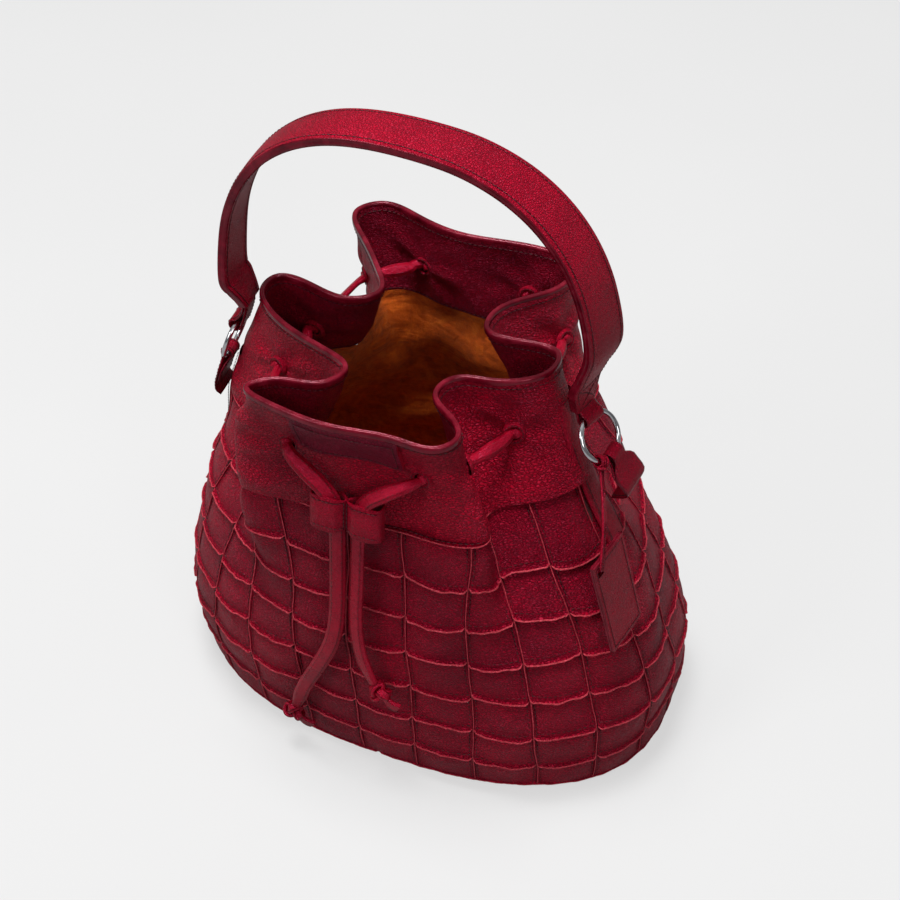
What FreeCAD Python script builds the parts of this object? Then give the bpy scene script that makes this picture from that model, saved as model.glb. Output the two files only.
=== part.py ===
import FreeCAD, Part
import copy
import math
import os

V = FreeCAD.Vector

# Drawstring bucket bag, millimetres.  +Z up, -Y front, the flat base stands on Z = 0 and the
# origin is the middle of the base.  The soft body leans a little, so the rim is off centre.

# ---- driving dimensions -------------------------------------------------------------------
BASE_HALF_WIDTH = 161.0
BASE_HALF_DEPTH = 104.0
BASE_ROUNDNESS = 2.43           # superellipse power of the plan view
RIM_HEIGHT = 286.0
SEAM_HEIGHT = 206.0             # where the patchwork meets the collar
EYELET_HEIGHT = 250.0
LEAN = V(-16.0, -7.5, 0.0)      # how far the rim's centre has slouched from the base's
OUTLINE_POINTS = 60

LEATHER = 1.6
PATCHWORK = 2.2
LINING = 0.9
INTERLINING = 0.8
BASE_PANEL = 2.4
BASE_BOARD = 2.0
GAP = 0.1
LAYER_GAP = 0.2
INTERLINING_GAP = 0.5
LINING_GAP = 0.9
INNER_FOLLOW = 0.8              # share of the wall's swells that its inner layers take up
TILE_ROWS = 7
FACING_DEPTH = 62.0             # inner leather band below the rim
BINDING_HEIGHT = 3.0

EYELET_HOLE_RADIUS = 4.0
EYELET_RING_RADIUS = 6.4
EYELET_PROUD = 1.2
LACE_RADIUS = 2.3
KNOT_RADIUS = 6.0

SLIDER_WIDTH = 46.0
SLIDER_DEPTH = 12.0
SLIDER_HEIGHT = 22.5
SLIDER_WALL = 1.5
SLIDER_CENTRE = V(-15.7, -102.5, 218.9)
SLIDER_AXIS = V(0.03, -0.18, -0.983)

RING_CENTRE_HALF_SPACING = 121.0
RING_CENTRE_Z = 243.0
RING_MAJOR = 15.1
RING_WIRE = 1.6
RING_SLOPE = {"right": 34.0, "left": 18.0}      # degrees each ring leans out, as the side flares
RING_YAW = {"right": 18.0, "left": 4.0}
WRAP_INNER = 3.15               # inner radius of a leather loop round the ring's wire
STRIP = 1.4
LOOP_WIDTH = 16.0
TAB_WIDTH = 23.0
TAB_NECK_WIDTH = 11.0
TAB_TURN = {"right": 16.0, "left": 0.0}         # degrees each tab hangs towards the back
HITCH_ANGLE = 30.0              # degrees round the ring from its foot towards the front
TAB_LENGTH = 43.5
TAB_ANCHOR = {"right": (10.6, -43.5), "left": (9.0, -44.5)}    # out and up from the ring's centre
SIDE_STRIP_HALF_SHARE = 0.0125
STRIP_FOOT = 172.0
STRIP_TOP = {"right": 262.0, "left": 232.0}

# Middle line of the strap's end, out and up from the ring's centre, and its width there.
STRAP_FOOT = {
    "right": [(-13.4, 17.5, 19.0), (-13.6, 26.0, 24.0), (-12.9, 35.0, 28.5), (-8.6, 47.0, 30.0)],
    "left": [(-12.6, 31.0, 19.0), (-10.2, 37.5, 23.0), (-6.8, 44.5, 27.5), (-3.4, 54.0, 30.0)],
}
STRAP_FOOT_YAW = {"right": 12.0, "left": 3.0}
# Middle line of the loop under the strap's end, down to where its two plies part.
LOOP_ROUTE = {
    "right": [(-13.5, 33.0), (-13.2, 19.0)],
    "left": [(-11.2, 36.0), (-12.4, 29.0), (-10.2, 21.5)],
}

STRAP_WIDTH = 30.0
STRAP_CORE = 3.0
STRAP_PLY = 1.5
PADDING_SLACK = 0.4
ARCH_HALF_WIDTH = 119.8
ARCH_BASE_Z = 285.0
ARCH_RISE = 131.9
ARCH_POWER = 2.4
ARCH_CENTRE_X = -16.8

TAG_LENGTH = 66.0
TAG_WIDTH = 36.0
TAG_PLY = 1.3
TAG_CENTRE = V(134.5, -48.0, 160.0)
TAG_NORMAL = V(0.953, -0.144, 0.267)
LANYARD_RADIUS = 1.8
HITCH_RADIUS = 4.8

# Plan of the gathered rim: six lobes with four pleats folded in between them.
RIM_PLAN = [
    (-18, -102), (15, -98), (38, -96), (46, -84), (36, -67), (20, -52), (24, -38), (42, -32),
    (63, -23), (74, -8), (72, 8), (52, 11), (25, 13), (24, 28), (40, 50), (54, 73), (50, 90),
    (15, 98), (-25, 93), (-58, 100), (-86, 104), (-98, 90), (-84, 66), (-58, 36), (-50, 18),
    (-60, 8), (-93, 11), (-114, 9), (-117, -4), (-107, -20), (-80, -36), (-52, -45), (-38, -54),
    (-44, -68), (-70, -76), (-84, -90), (-64, -99),
]

# Upright profile of the body: height, half width, half depth, how much of the rim's pleating
# the section takes, and how far the drawstring draws the pleated outline sideways and, on the
# front, inwards.
PROFILE = [
    (0.0, BASE_HALF_WIDTH, BASE_HALF_DEPTH, 0.0, 1.0, 0.9),
    (6.0, 165.0, 107.0, 0.0, 1.0, 0.9),
    (50.0, 168.0, 110.0, 0.0, 1.01, 0.9),
    (100.0, 166.0, 108.0, 0.06, 1.02, 0.9),
    (140.0, 160.0, 103.0, 0.16, 1.03, 0.9),
    (175.0, 150.0, 96.0, 0.30, 1.04, 0.9),
    (SEAM_HEIGHT, 137.0, 90.0, 0.45, 1.04, 0.9),
    (EYELET_HEIGHT, 122.0, 84.0, 0.81, 1.03, 0.89),
    (RIM_HEIGHT, 97.0, 95.0, 1.0, 1.0, 1.0),
]

# Places where the slouched wall swells: share of the outline, spread, how far out sideways and
# to the back, and the heights where that starts, is full, stays full and ends.
SWELLS = [
    (0.9215, 0.027, -16.0, -6.0, 130.0, 200.0, 243.0, 283.0),
    (0.0900, 0.026, 9.0, -4.0, 130.0, 200.0, 225.0, 262.0),
    (0.7650, 0.040, -9.0, 0.0, 165.0, 212.0, 240.0, 280.0),
]

# Distances along the rim, as shares of its length from the front middle, of the twelve eyelets.
EYELETS = [0.046, 0.100, 0.171, 0.262, 0.345, 0.421, 0.504, 0.585, 0.692, 0.800, 0.900, 0.950]


# ---- the soft body's shape ----------------------------------------------------------------
def smooth_value(table, column, z):
    """Value of one column of a table at height z, by monotone cubic interpolation."""
    heights = [row[0] for row in table]
    values = [row[column] for row in table]
    count = len(heights)
    z = min(max(z, heights[0]), heights[-1])
    steps = [heights[i + 1] - heights[i] for i in range(count - 1)]
    slopes = [(values[i + 1] - values[i]) / steps[i] for i in range(count - 1)]
    tangents = [slopes[0]]
    for i in range(1, count - 1):
        if slopes[i - 1] * slopes[i] <= 0:
            tangents.append(0.0)
        else:
            before = 2 * steps[i] + steps[i - 1]
            after = steps[i] + 2 * steps[i - 1]
            tangents.append((before + after) / (before / slopes[i - 1] + after / slopes[i]))
    tangents.append(slopes[-1])
    i = max(k for k in range(count - 1) if heights[k] <= z)
    t = (z - heights[i]) / steps[i]
    return (
        (2 * t**3 - 3 * t**2 + 1) * values[i]
        + (t**3 - 2 * t**2 + t) * steps[i] * tangents[i]
        + (3 * t**2 - 2 * t**3) * values[i + 1]
        + (t**3 - t**2) * steps[i] * tangents[i + 1]
    )


def signed_power(value, power):
    return math.copysign(abs(value) ** power, value)


def superellipse(half_width, half_depth):
    """Closed curve from the front middle round to the right."""
    points = []
    steps = 240
    for i in range(steps):
        angle = 2 * math.pi * i / steps - math.pi / 2
        x = half_width * signed_power(math.cos(angle), 2 / BASE_ROUNDNESS)
        y = half_depth * signed_power(math.sin(angle), 2 / BASE_ROUNDNESS)
        points.append(V(x, y, 0))
    return points


def even_steps(points, count):
    """The same closed outline with count points at equal distances along it."""
    closed = points + [points[0]]
    reach = [0.0]
    for a, b in zip(closed, closed[1:]):
        reach.append(reach[-1] + a.distanceToPoint(b))
    result = []
    k = 0
    for i in range(count):
        want = reach[-1] * i / count
        while reach[k + 1] < want:
            k += 1
        share = (want - reach[k]) / (reach[k + 1] - reach[k])
        result.append(closed[k] + (closed[k + 1] - closed[k]) * share)
    return result


def rim_outline():
    curve = Part.BSplineCurve()
    curve.interpolate(Points=[V(x, y, 0) for x, y in RIM_PLAN], PeriodicFlag=True)
    return even_steps(curve.toShape().discretize(Number=721)[:-1], OUTLINE_POINTS * 4)


RIM = [p - LEAN for p in rim_outline()]


def ease(value, low, high):
    """0 at low, 1 at high, with a smooth change between."""
    t = min(max((value - low) / (high - low), 0.0), 1.0)
    return t * t * (3 - 2 * t)


def swelling(share, z):
    """How far the wall's swells move a point of the outline."""
    total = V(0, 0, 0)
    for middle, spread, sideways, backwards, start, full, stay, end in SWELLS:
        away = (share - middle + 0.5) % 1.0 - 0.5
        amount = math.exp(-((away / spread) ** 2)) * ease(z, start, full) * (1 - ease(z, stay, end))
        total += V(sideways, backwards, 0) * amount
    return total


def fine_section(z, follow=1.0):
    """Outer outline of the body at height z, with a share of its swells."""
    ellipse = even_steps(
        superellipse(smooth_value(PROFILE, 1, z), smooth_value(PROFILE, 2, z)), len(RIM)
    )
    pleat = smooth_value(PROFILE, 3, z)
    draw_x = smooth_value(PROFILE, 4, z)
    draw_front = smooth_value(PROFILE, 5, z)
    centre = LEAN * (z / RIM_HEIGHT)
    points = []
    for i, (plain, gathered) in enumerate(zip(ellipse, RIM)):
        draw_y = draw_front if gathered.y < 0 else 1.0
        x = centre.x + (1 - pleat) * plain.x + pleat * draw_x * gathered.x
        y = centre.y + (1 - pleat) * plain.y + pleat * draw_y * gathered.y
        points.append(V(x, y, z) + swelling(i / len(RIM), z) * follow)
    return points


def inset(points, depth):
    """Outline moved towards the inside by depth."""
    count = len(points)
    result = []
    for i, point in enumerate(points):
        along = points[(i + 2) % count] - points[i - 2]
        inward = V(-along.y, along.x, 0)
        inward.normalize()
        result.append(point + inward * depth)
    return result


def outline(z, depth, follow=1.0):
    return inset(fine_section(z, follow), depth)[:: len(RIM) // OUTLINE_POINTS]


def outline_wire(points):
    curve = Part.BSplineCurve()
    curve.interpolate(Points=points, PeriodicFlag=True)
    return Part.Wire([curve.toShape()])


def levels(low, high):
    """Heights at which a wall between low and high is sectioned."""
    known = [row[0] for row in PROFILE]
    between = [(a + b) / 2 for a, b in zip(known, known[1:])]
    inner = [z for z in sorted(known + between) if low + 2 < z < high - 2]
    return [low] + inner + [high]


def wall(low, high, outer_depth, inner_depth, follow=1.0):
    """Closed band of the body's wall between two heights and two depths from its outer face."""
    heights = levels(low, high)
    outer = [outline_wire(outline(z, outer_depth, follow)) for z in heights]
    inner = [outline_wire(outline(z, inner_depth, follow)) for z in heights]
    return Part.makeLoft(outer, True, False).cut(Part.makeLoft(inner, True, False))


def plate(low, high, depth):
    """Flat plate that fills the body's outline, inset by depth."""
    face = Part.Face(outline_wire([V(p.x, p.y, low) for p in outline(low, depth)]))
    return face.extrude(V(0, 0, high - low))


def surface_at(share, z):
    """Point, outward normal and tangent of the body's outer face at a share of the outline."""
    index = share * len(RIM)
    low = int(index) % len(RIM)
    part_way = index - int(index)

    def point(height, k):
        section = fine_section(height)
        a = section[k % len(RIM)]
        b = section[(k + 1) % len(RIM)]
        return a + (b - a) * part_way

    here = point(z, low)
    along = point(z, low + 2) - point(z, low - 2)
    up = point(z + 3, low) - point(z - 3, low)
    normal = along.cross(up)
    normal.normalize()
    along.normalize()
    return here, normal, along


def side_share(side, z):
    """Share of the outline where the body reaches furthest to one side at height z."""
    sign = 1 if side == "right" else -1
    section = fine_section(z)
    furthest = max(range(len(section)), key=lambda k: sign * section[k].x)
    return furthest / len(section)


def open_curve(points):
    curve = Part.BSplineCurve()
    curve.interpolate(Points=points)
    return curve.toShape()


def skin_patch(centres, half_share, proud, thick):
    """Piece laid on the outer face; centres holds its middle's height and share, going up."""
    wires = []
    half = round(half_share * len(RIM))
    for z, share in centres:
        section = fine_section(z)
        outer = inset(section, -proud - thick)
        inner = inset(section, -proud)
        middle = round(share * len(RIM))
        across = range(middle - half, middle + half + 1)
        front = [outer[k % len(RIM)] for k in across]
        back = [inner[k % len(RIM)] for k in across]
        wires.append(Part.Wire([
            open_curve(front), Part.makeLine(front[-1], back[-1]),
            open_curve(back[::-1]), Part.makeLine(back[0], front[0]),
        ]))
    return Part.makeLoft(wires, True, False)


def side_strip(side):
    """Reinforcing strip sewn up the side, under the ring."""
    step = (STRIP_TOP[side] - STRIP_FOOT) / 4
    heights = [STRIP_FOOT + step * i for i in range(5)]
    centres = [(z, side_share(side, z)) for z in heights]
    return skin_patch(centres, SIDE_STRIP_HALF_SHARE, 0.3, LEATHER)


# ---- cords --------------------------------------------------------------------------------
def cord(points, radius, label):
    """Round tube along straight runs joined by tangent arcs."""
    edges = []
    start = points[0]
    radii = []
    for i in range(1, len(points) - 1):
        before = points[i] - points[i - 1]
        after = points[i + 1] - points[i]
        half_turn = before.getAngle(after) / 2
        cut = 0.45 * min(before.Length, after.Length)
        radii.append(cut / math.tan(half_turn))
        into = points[i] - before * (cut / before.Length)
        out = points[i] + after * (cut / after.Length)
        pull = (into + out) * 0.5 - points[i]
        bulge = radii[-1] / math.cos(half_turn) - radii[-1]
        middle = points[i] + pull * (bulge / pull.Length)
        edges.append(Part.LineSegment(start, into).toShape())
        edges.append(Part.Arc(into, middle, out).toShape())
        start = out
    edges.append(Part.LineSegment(start, points[-1]).toShape())
    path = Part.Wire(edges)
    profile = Part.Wire([Part.makeCircle(radius, points[0], points[1] - points[0])])
    tube = path.makePipeShell([profile], True, False)
    expected = math.pi * radius**2 * path.Length
    print(label, "length", round(path.Length, 1), "radii", [round(r, 1) for r in radii],
          "volume ratio", round(tube.Volume / expected, 3))
    return tube


TAIL_LEFT = [
    V(-60.5, -88.5, 249.5), V(-55, -97.5, 250.5), V(-43, -101, 244.5), V(-29.5, -102.3, 234.5),
    V(-22.3, -102.4, 222.5), V(-21.6, -105.6, 197), V(-20.6, -110.3, 170), V(-19.6, -115.4, 143),
    V(-22.5, -118.6, 119), V(-32, -120, 95), V(-43.5, -119.8, 70), V(-50.5, -118.8, 49),
    V(-53, -118.3, 41),
]
KNOT_LEFT = V(-55, -118, 34)
TAIL_RIGHT = [
    V(26, -87.5, 249), V(20, -97, 250.3), V(8, -101, 243.5), V(-3.5, -102.4, 234),
    V(-8.8, -102.4, 221.5), V(-8.6, -105.6, 197), V(-8.2, -110.3, 170), V(-7.9, -115.3, 144),
    V(-5.5, -118.3, 122), V(-0.5, -119.6, 104), V(5, -119.8, 93),
]
KNOT_RIGHT = V(8.5, -119.6, 86)


def threaded_lace():
    """The drawstring's hidden run, in and out of the eyelets from the left front to the right."""
    shares = EYELETS[1:-1]
    points = []
    for number, share in enumerate([EYELETS[0]] + shares + [EYELETS[-1]]):
        here, normal, _ = surface_at(share, EYELET_HEIGHT)
        points.append(here - normal * (LEATHER if 0 < number < 11 else 3 * LEATHER))
    return points


def turned(outline, centre, axis):
    """Solid turned from a closed wire in the XZ plane about Z, then set along an axis."""
    solid = Part.Face(outline).revolve(V(0, 0, 0), V(0, 0, 1), 360)
    solid.Placement = FreeCAD.Placement(centre, FreeCAD.Rotation(V(0, 0, 1), axis))
    return solid


def knot(centre, toward, radius):
    """Tied end with the cut end of the lace standing out of it."""
    foot = V(0, 0, -radius)
    shoulder = V(LACE_RADIUS, 0, math.sqrt(radius**2 - LACE_RADIUS**2))
    cut_end = V(LACE_RADIUS, 0, 2.6 * radius)
    middle = V(0, 0, cut_end.z)
    outline = Part.Wire([
        Part.Arc(foot, V(radius, 0, 0), shoulder).toShape(), Part.makeLine(shoulder, cut_end),
        Part.makeLine(cut_end, middle), Part.makeLine(middle, foot),
    ])
    return turned(outline, centre, toward)


# ---- strips wrapped round a ring ----------------------------------------------------------
class SideFrame:
    """Place of one ring: out along the slope's normal, down the slope, and back along Y."""

    def __init__(self, side):
        sign = 1 if side == "right" else -1
        yaw = math.radians(RING_YAW[side])
        slope = math.radians(RING_SLOPE[side])
        self.centre = V(LEAN.x * 1.03 + sign * RING_CENTRE_HALF_SPACING, LEAN.y, RING_CENTRE_Z)
        self.out = V(sign * math.cos(yaw), -math.sin(yaw), 0)
        self.back = V(sign * math.sin(yaw), math.cos(yaw), 0)
        self.up = V(0, 0, 1)
        self.down = self.out * math.sin(slope) - self.up * math.cos(slope)
        self.normal = self.out * math.cos(slope) + self.up * math.sin(slope)
        self.slope = slope

    def turned(self, degrees):
        """The same place, turned about the ring's middle so that it hangs towards the back."""
        other = copy.copy(self)
        spin = FreeCAD.Rotation(self.normal, degrees)
        for name in ("out", "up", "back", "down"):
            setattr(other, name, spin.multVec(getattr(self, name)))
        return other

    def point(self, out, up, back=0.0):
        return self.centre + self.out * out + self.up * up + self.back * back


def thick_path(points, thickness):
    """Closed outline of a strip that follows an open path in its own plane."""
    left = []
    right = []
    for i, (x, y) in enumerate(points):
        normals = []
        for a, b in ((i - 1, i), (i, i + 1)):
            if a < 0 or b >= len(points):
                continue
            dx = points[b][0] - points[a][0]
            dy = points[b][1] - points[a][1]
            length = math.hypot(dx, dy)
            normals.append((-dy / length, dx / length))
        nx = sum(n[0] for n in normals) / len(normals)
        ny = sum(n[1] for n in normals) / len(normals)
        stretch = thickness / 2 / (nx * nx + ny * ny)
        left.append((x + nx * stretch, y + ny * stretch))
        right.append((x - nx * stretch, y - ny * stretch))
    return left + right[::-1]


def strip(frame, points, thickness, width):
    """Leather strip of a given width that follows a path seen along the bag's side."""
    corners = [frame.point(x, y, -width / 2) for x, y in thick_path(points, thickness)]
    face = Part.Face(Part.makePolygon(corners + [corners[0]]))
    return face.extrude(frame.back * width)


def arc_points(centre, radius, start, stop, count):
    result = []
    for i in range(count + 1):
        angle = math.radians(start + (stop - start) * i / count)
        result.append((centre[0] + radius * math.cos(angle), centre[1] + radius * math.sin(angle)))
    return result


def ring(frame):
    return Part.makeTorus(RING_MAJOR, RING_WIRE, frame.centre, frame.normal)


def wrap_centre(frame, sign, width):
    """Middle of a loop round the ring's foot or top, seen along the bag's side.

    The ring curves away by a sagitta across the loop's width, so the loop sits half of it in.
    """
    sagitta = RING_MAJOR - math.sqrt(RING_MAJOR**2 - (width / 2) ** 2)
    reach = RING_MAJOR - sagitta / 2
    return (sign * reach * math.sin(frame.slope), -sign * reach * math.cos(frame.slope))


def handle_loop(frame, middle):
    """Short strip folded over the top of the ring, both ends running up into the strap's end."""
    around = wrap_centre(frame, -1, LOOP_WIDTH)
    apart = [(STRIP + 0.1) / 2] * (len(middle) - 1) + [(STRIP + 0.1) / 2 + 0.4]
    outer = []
    inner = []
    for i, (x, y) in enumerate(middle):
        before = middle[max(i - 1, 0)]
        after = middle[min(i + 1, len(middle) - 1)]
        length = math.hypot(after[0] - before[0], after[1] - before[1])
        nx = (before[1] - after[1]) / length
        ny = (after[0] - before[0]) / length
        outer.append((x + nx * apart[i], y + ny * apart[i]))
        inner.append((x - nx * apart[i], y - ny * apart[i]))
    path = outer + arc_points(around, WRAP_INNER + STRIP / 2, 95, -170, 16) + inner[::-1]
    return strip(frame, path, STRIP, LOOP_WIDTH)


def ring_tab(frame, anchor):
    """Two-ply tab: up the slope, round the ring's foot, down again and back in to the body."""
    around = wrap_centre(frame, 1, TAB_NECK_WIDTH)
    down = (math.sin(frame.slope), -math.cos(frame.slope))
    outer = (math.cos(frame.slope), math.sin(frame.slope))
    radius = WRAP_INNER + STRIP / 2
    slope_angle = math.degrees(frame.slope)
    mid = (STRIP + 0.1) / 2

    def on_tab(along, proud):
        return (down[0] * along + outer[0] * proud, down[1] * along + outer[1] * proud)

    path = [anchor, on_tab(TAB_LENGTH, mid)]
    path.append(on_tab(RING_MAJOR + 8.0, mid))
    path += arc_points(around, radius, slope_angle - 35, slope_angle + 215, 16)
    path.append(on_tab(RING_MAJOR + 8.0, -mid))
    path.append(on_tab(TAB_LENGTH - 4.0, -mid))
    wide = strip(frame, path, STRIP, TAB_WIDTH)
    narrow_side = (TAB_WIDTH - TAB_NECK_WIDTH) / 2
    for sign in (-1, 1):
        trim = Part.makeBox(40, narrow_side + 5, 2 * RING_MAJOR)
        trim.translate(V(-20, 0 if sign > 0 else -narrow_side - 5, -RING_MAJOR * 2))
        trim.translate(V(0, sign * TAB_NECK_WIDTH / 2, 0))
        place = FreeCAD.Matrix(
            frame.out.x, frame.back.x, -frame.down.x, 0,
            frame.out.y, frame.back.y, -frame.down.y, 0,
            frame.out.z, frame.back.z, -frame.down.z, 0,
        )
        trim = trim.transformGeometry(place)
        trim.translate(frame.centre + frame.down * (RING_MAJOR + 5.0 - 2 * RING_MAJOR))
        wide = wide.cut(trim)
    return wide


# ---- handle -------------------------------------------------------------------------------
def handle_stations():
    """Centre, across and outward directions, and share of full width, along the strap."""
    centres = []
    turns = []
    widths = []
    frames = {side: SideFrame(side) for side in ("right", "left")}
    for out, up, width in STRAP_FOOT["right"]:
        centres.append(frames["right"].point(out, up))
        turns.append(-STRAP_FOOT_YAW["right"])
        widths.append(width)
    arch_angles = range(8, 173, 12)
    for degrees in arch_angles:
        angle = math.radians(degrees)
        x = ARCH_CENTRE_X + ARCH_HALF_WIDTH * signed_power(math.cos(angle), 2 / ARCH_POWER)
        z = ARCH_BASE_Z + ARCH_RISE * signed_power(math.sin(angle), 2 / ARCH_POWER)
        centres.append(V(x, -4.0 - 2.0 * math.cos(angle), z))
        turns.append(-7.2 - 7.5 * math.cos(angle) - 3.6 * math.cos(2 * angle))
        widths.append(STRAP_WIDTH)
    for out, up, width in STRAP_FOOT["left"][::-1]:
        centres.append(frames["left"].point(out, up))
        turns.append(-STRAP_FOOT_YAW["left"])
        widths.append(width)
    stations = []
    for i, centre in enumerate(centres):
        tangent = centres[min(i + 1, len(centres) - 1)] - centres[max(i - 1, 0)]
        tangent.normalize()
        level = V(0, 1, 0) - tangent * tangent.y
        level.normalize()
        side = tangent.cross(level)
        turn = math.radians(turns[i])
        across = level * math.cos(turn) + side * math.sin(turn)
        stations.append((centre, across, across.cross(tangent), widths[i]))
    return stations


def band(stations, low, high, narrower):
    """Strap layer between two offsets from the strap's middle."""
    wires = []
    for centre, across, outward, width in stations:
        half = across * ((width - narrower) / 2)
        corners = [
            centre - half + outward * low, centre + half + outward * low,
            centre + half + outward * high, centre - half + outward * high,
        ]
        wires.append(Part.makePolygon(corners + [corners[0]]))
    return Part.makeLoft(wires, True, False)


# ---- slider -------------------------------------------------------------------------------
def rounded_rectangle(half_width, half_depth, radius, x):
    """Wire in the XY plane, centred on x."""
    box = Part.makeBox(2 * half_width, 2 * half_depth, 1, V(x - half_width, -half_depth, 0))
    uprights = [e for e in box.Edges if abs(e.tangentAt(e.FirstParameter).z) > 0.9]
    return box.makeFillet(radius, uprights)


def slider():
    """Two lace loops side by side, stitched together in the middle."""
    half = SLIDER_WIDTH / 4
    body = None
    for x in (-half, half):
        outer = rounded_rectangle(half, SLIDER_DEPTH / 2, 4.5, x)
        inner = rounded_rectangle(half - SLIDER_WALL, SLIDER_DEPTH / 2 - SLIDER_WALL, 3.2, x)
        loop = outer.cut(inner)
        body = loop if body is None else body.fuse(loop)
    top_faces = [f for f in body.Faces if abs(f.CenterOfMass.z - 1) < 1e-6]
    body = Part.makeCompound([f.extrude(V(0, 0, SLIDER_HEIGHT)) for f in top_faces])
    body = body.Solids[0].multiFuse(body.Solids[1:]) if len(body.Solids) > 1 else body.Solids[0]
    body.translate(V(0, 0, -1 - SLIDER_HEIGHT / 2))
    axis = V(SLIDER_AXIS)
    axis.normalize()
    body.Placement = FreeCAD.Placement(
        SLIDER_CENTRE, FreeCAD.Rotation(V(0, 0, -1), axis)
    ).multiply(body.Placement)
    return body


# ---- tag ----------------------------------------------------------------------------------
def tag_axes():
    normal = V(TAG_NORMAL)
    normal.normalize()
    level = V(-normal.y, normal.x, 0)
    level.normalize()
    return normal, level, level.cross(normal)


def tag_ply(low, high):
    normal, level, down = tag_axes()
    corner = TAG_CENTRE - level * (TAG_WIDTH / 2) - down * (TAG_LENGTH / 2) + normal * low
    corners = [
        corner, corner + level * TAG_WIDTH, corner + level * TAG_WIDTH + down * TAG_LENGTH,
        corner + down * TAG_LENGTH,
    ]
    ply = Part.Face(Part.makePolygon(corners + [corners[0]])).extrude(normal * (high - low))
    hole = Part.makeCylinder(LANYARD_RADIUS + 0.4, 8, tag_hole() - normal * 4, normal)
    return ply.cut(hole)


def tag_hole():
    _, level, down = tag_axes()
    return TAG_CENTRE - level * (TAG_WIDTH / 2 - 6) - down * (TAG_LENGTH / 2 - 6)


def hitch_place(frame):
    """Centre of the ring's wire where the lanyard is hitched, and the wire's direction there."""
    angle = math.radians(HITCH_ANGLE)
    radial = frame.down * math.cos(angle) - frame.back * math.sin(angle)
    along = frame.normal.cross(radial)
    return frame.centre + radial * RING_MAJOR, radial, along


def hitch(frame):
    """Lump of lanyard hitched round the ring's wire, with clearance so that it can turn."""
    centre, _, along = hitch_place(frame)
    bore = RING_WIRE + 0.9
    low = V(bore, 0, -math.sqrt(HITCH_RADIUS**2 - bore**2))
    high = V(bore, 0, -low.z)
    outline = Part.Wire([
        Part.Arc(low, V(HITCH_RADIUS, 0, 0), high).toShape(), Part.makeLine(high, low),
    ])
    return turned(outline, centre, along)


def lanyard_points(frame):
    centre, radial, _ = hitch_place(frame)
    start = centre + radial * (HITCH_RADIUS + 0.5)
    normal, level, down = tag_axes()
    end = tag_hole() + normal * 1.2
    return [
        start, start + V(3.5, -6.5, -6.5), V(118.5, -35.5, 215.5), V(123.5, -46.5, 202.0), end,
    ]


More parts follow.
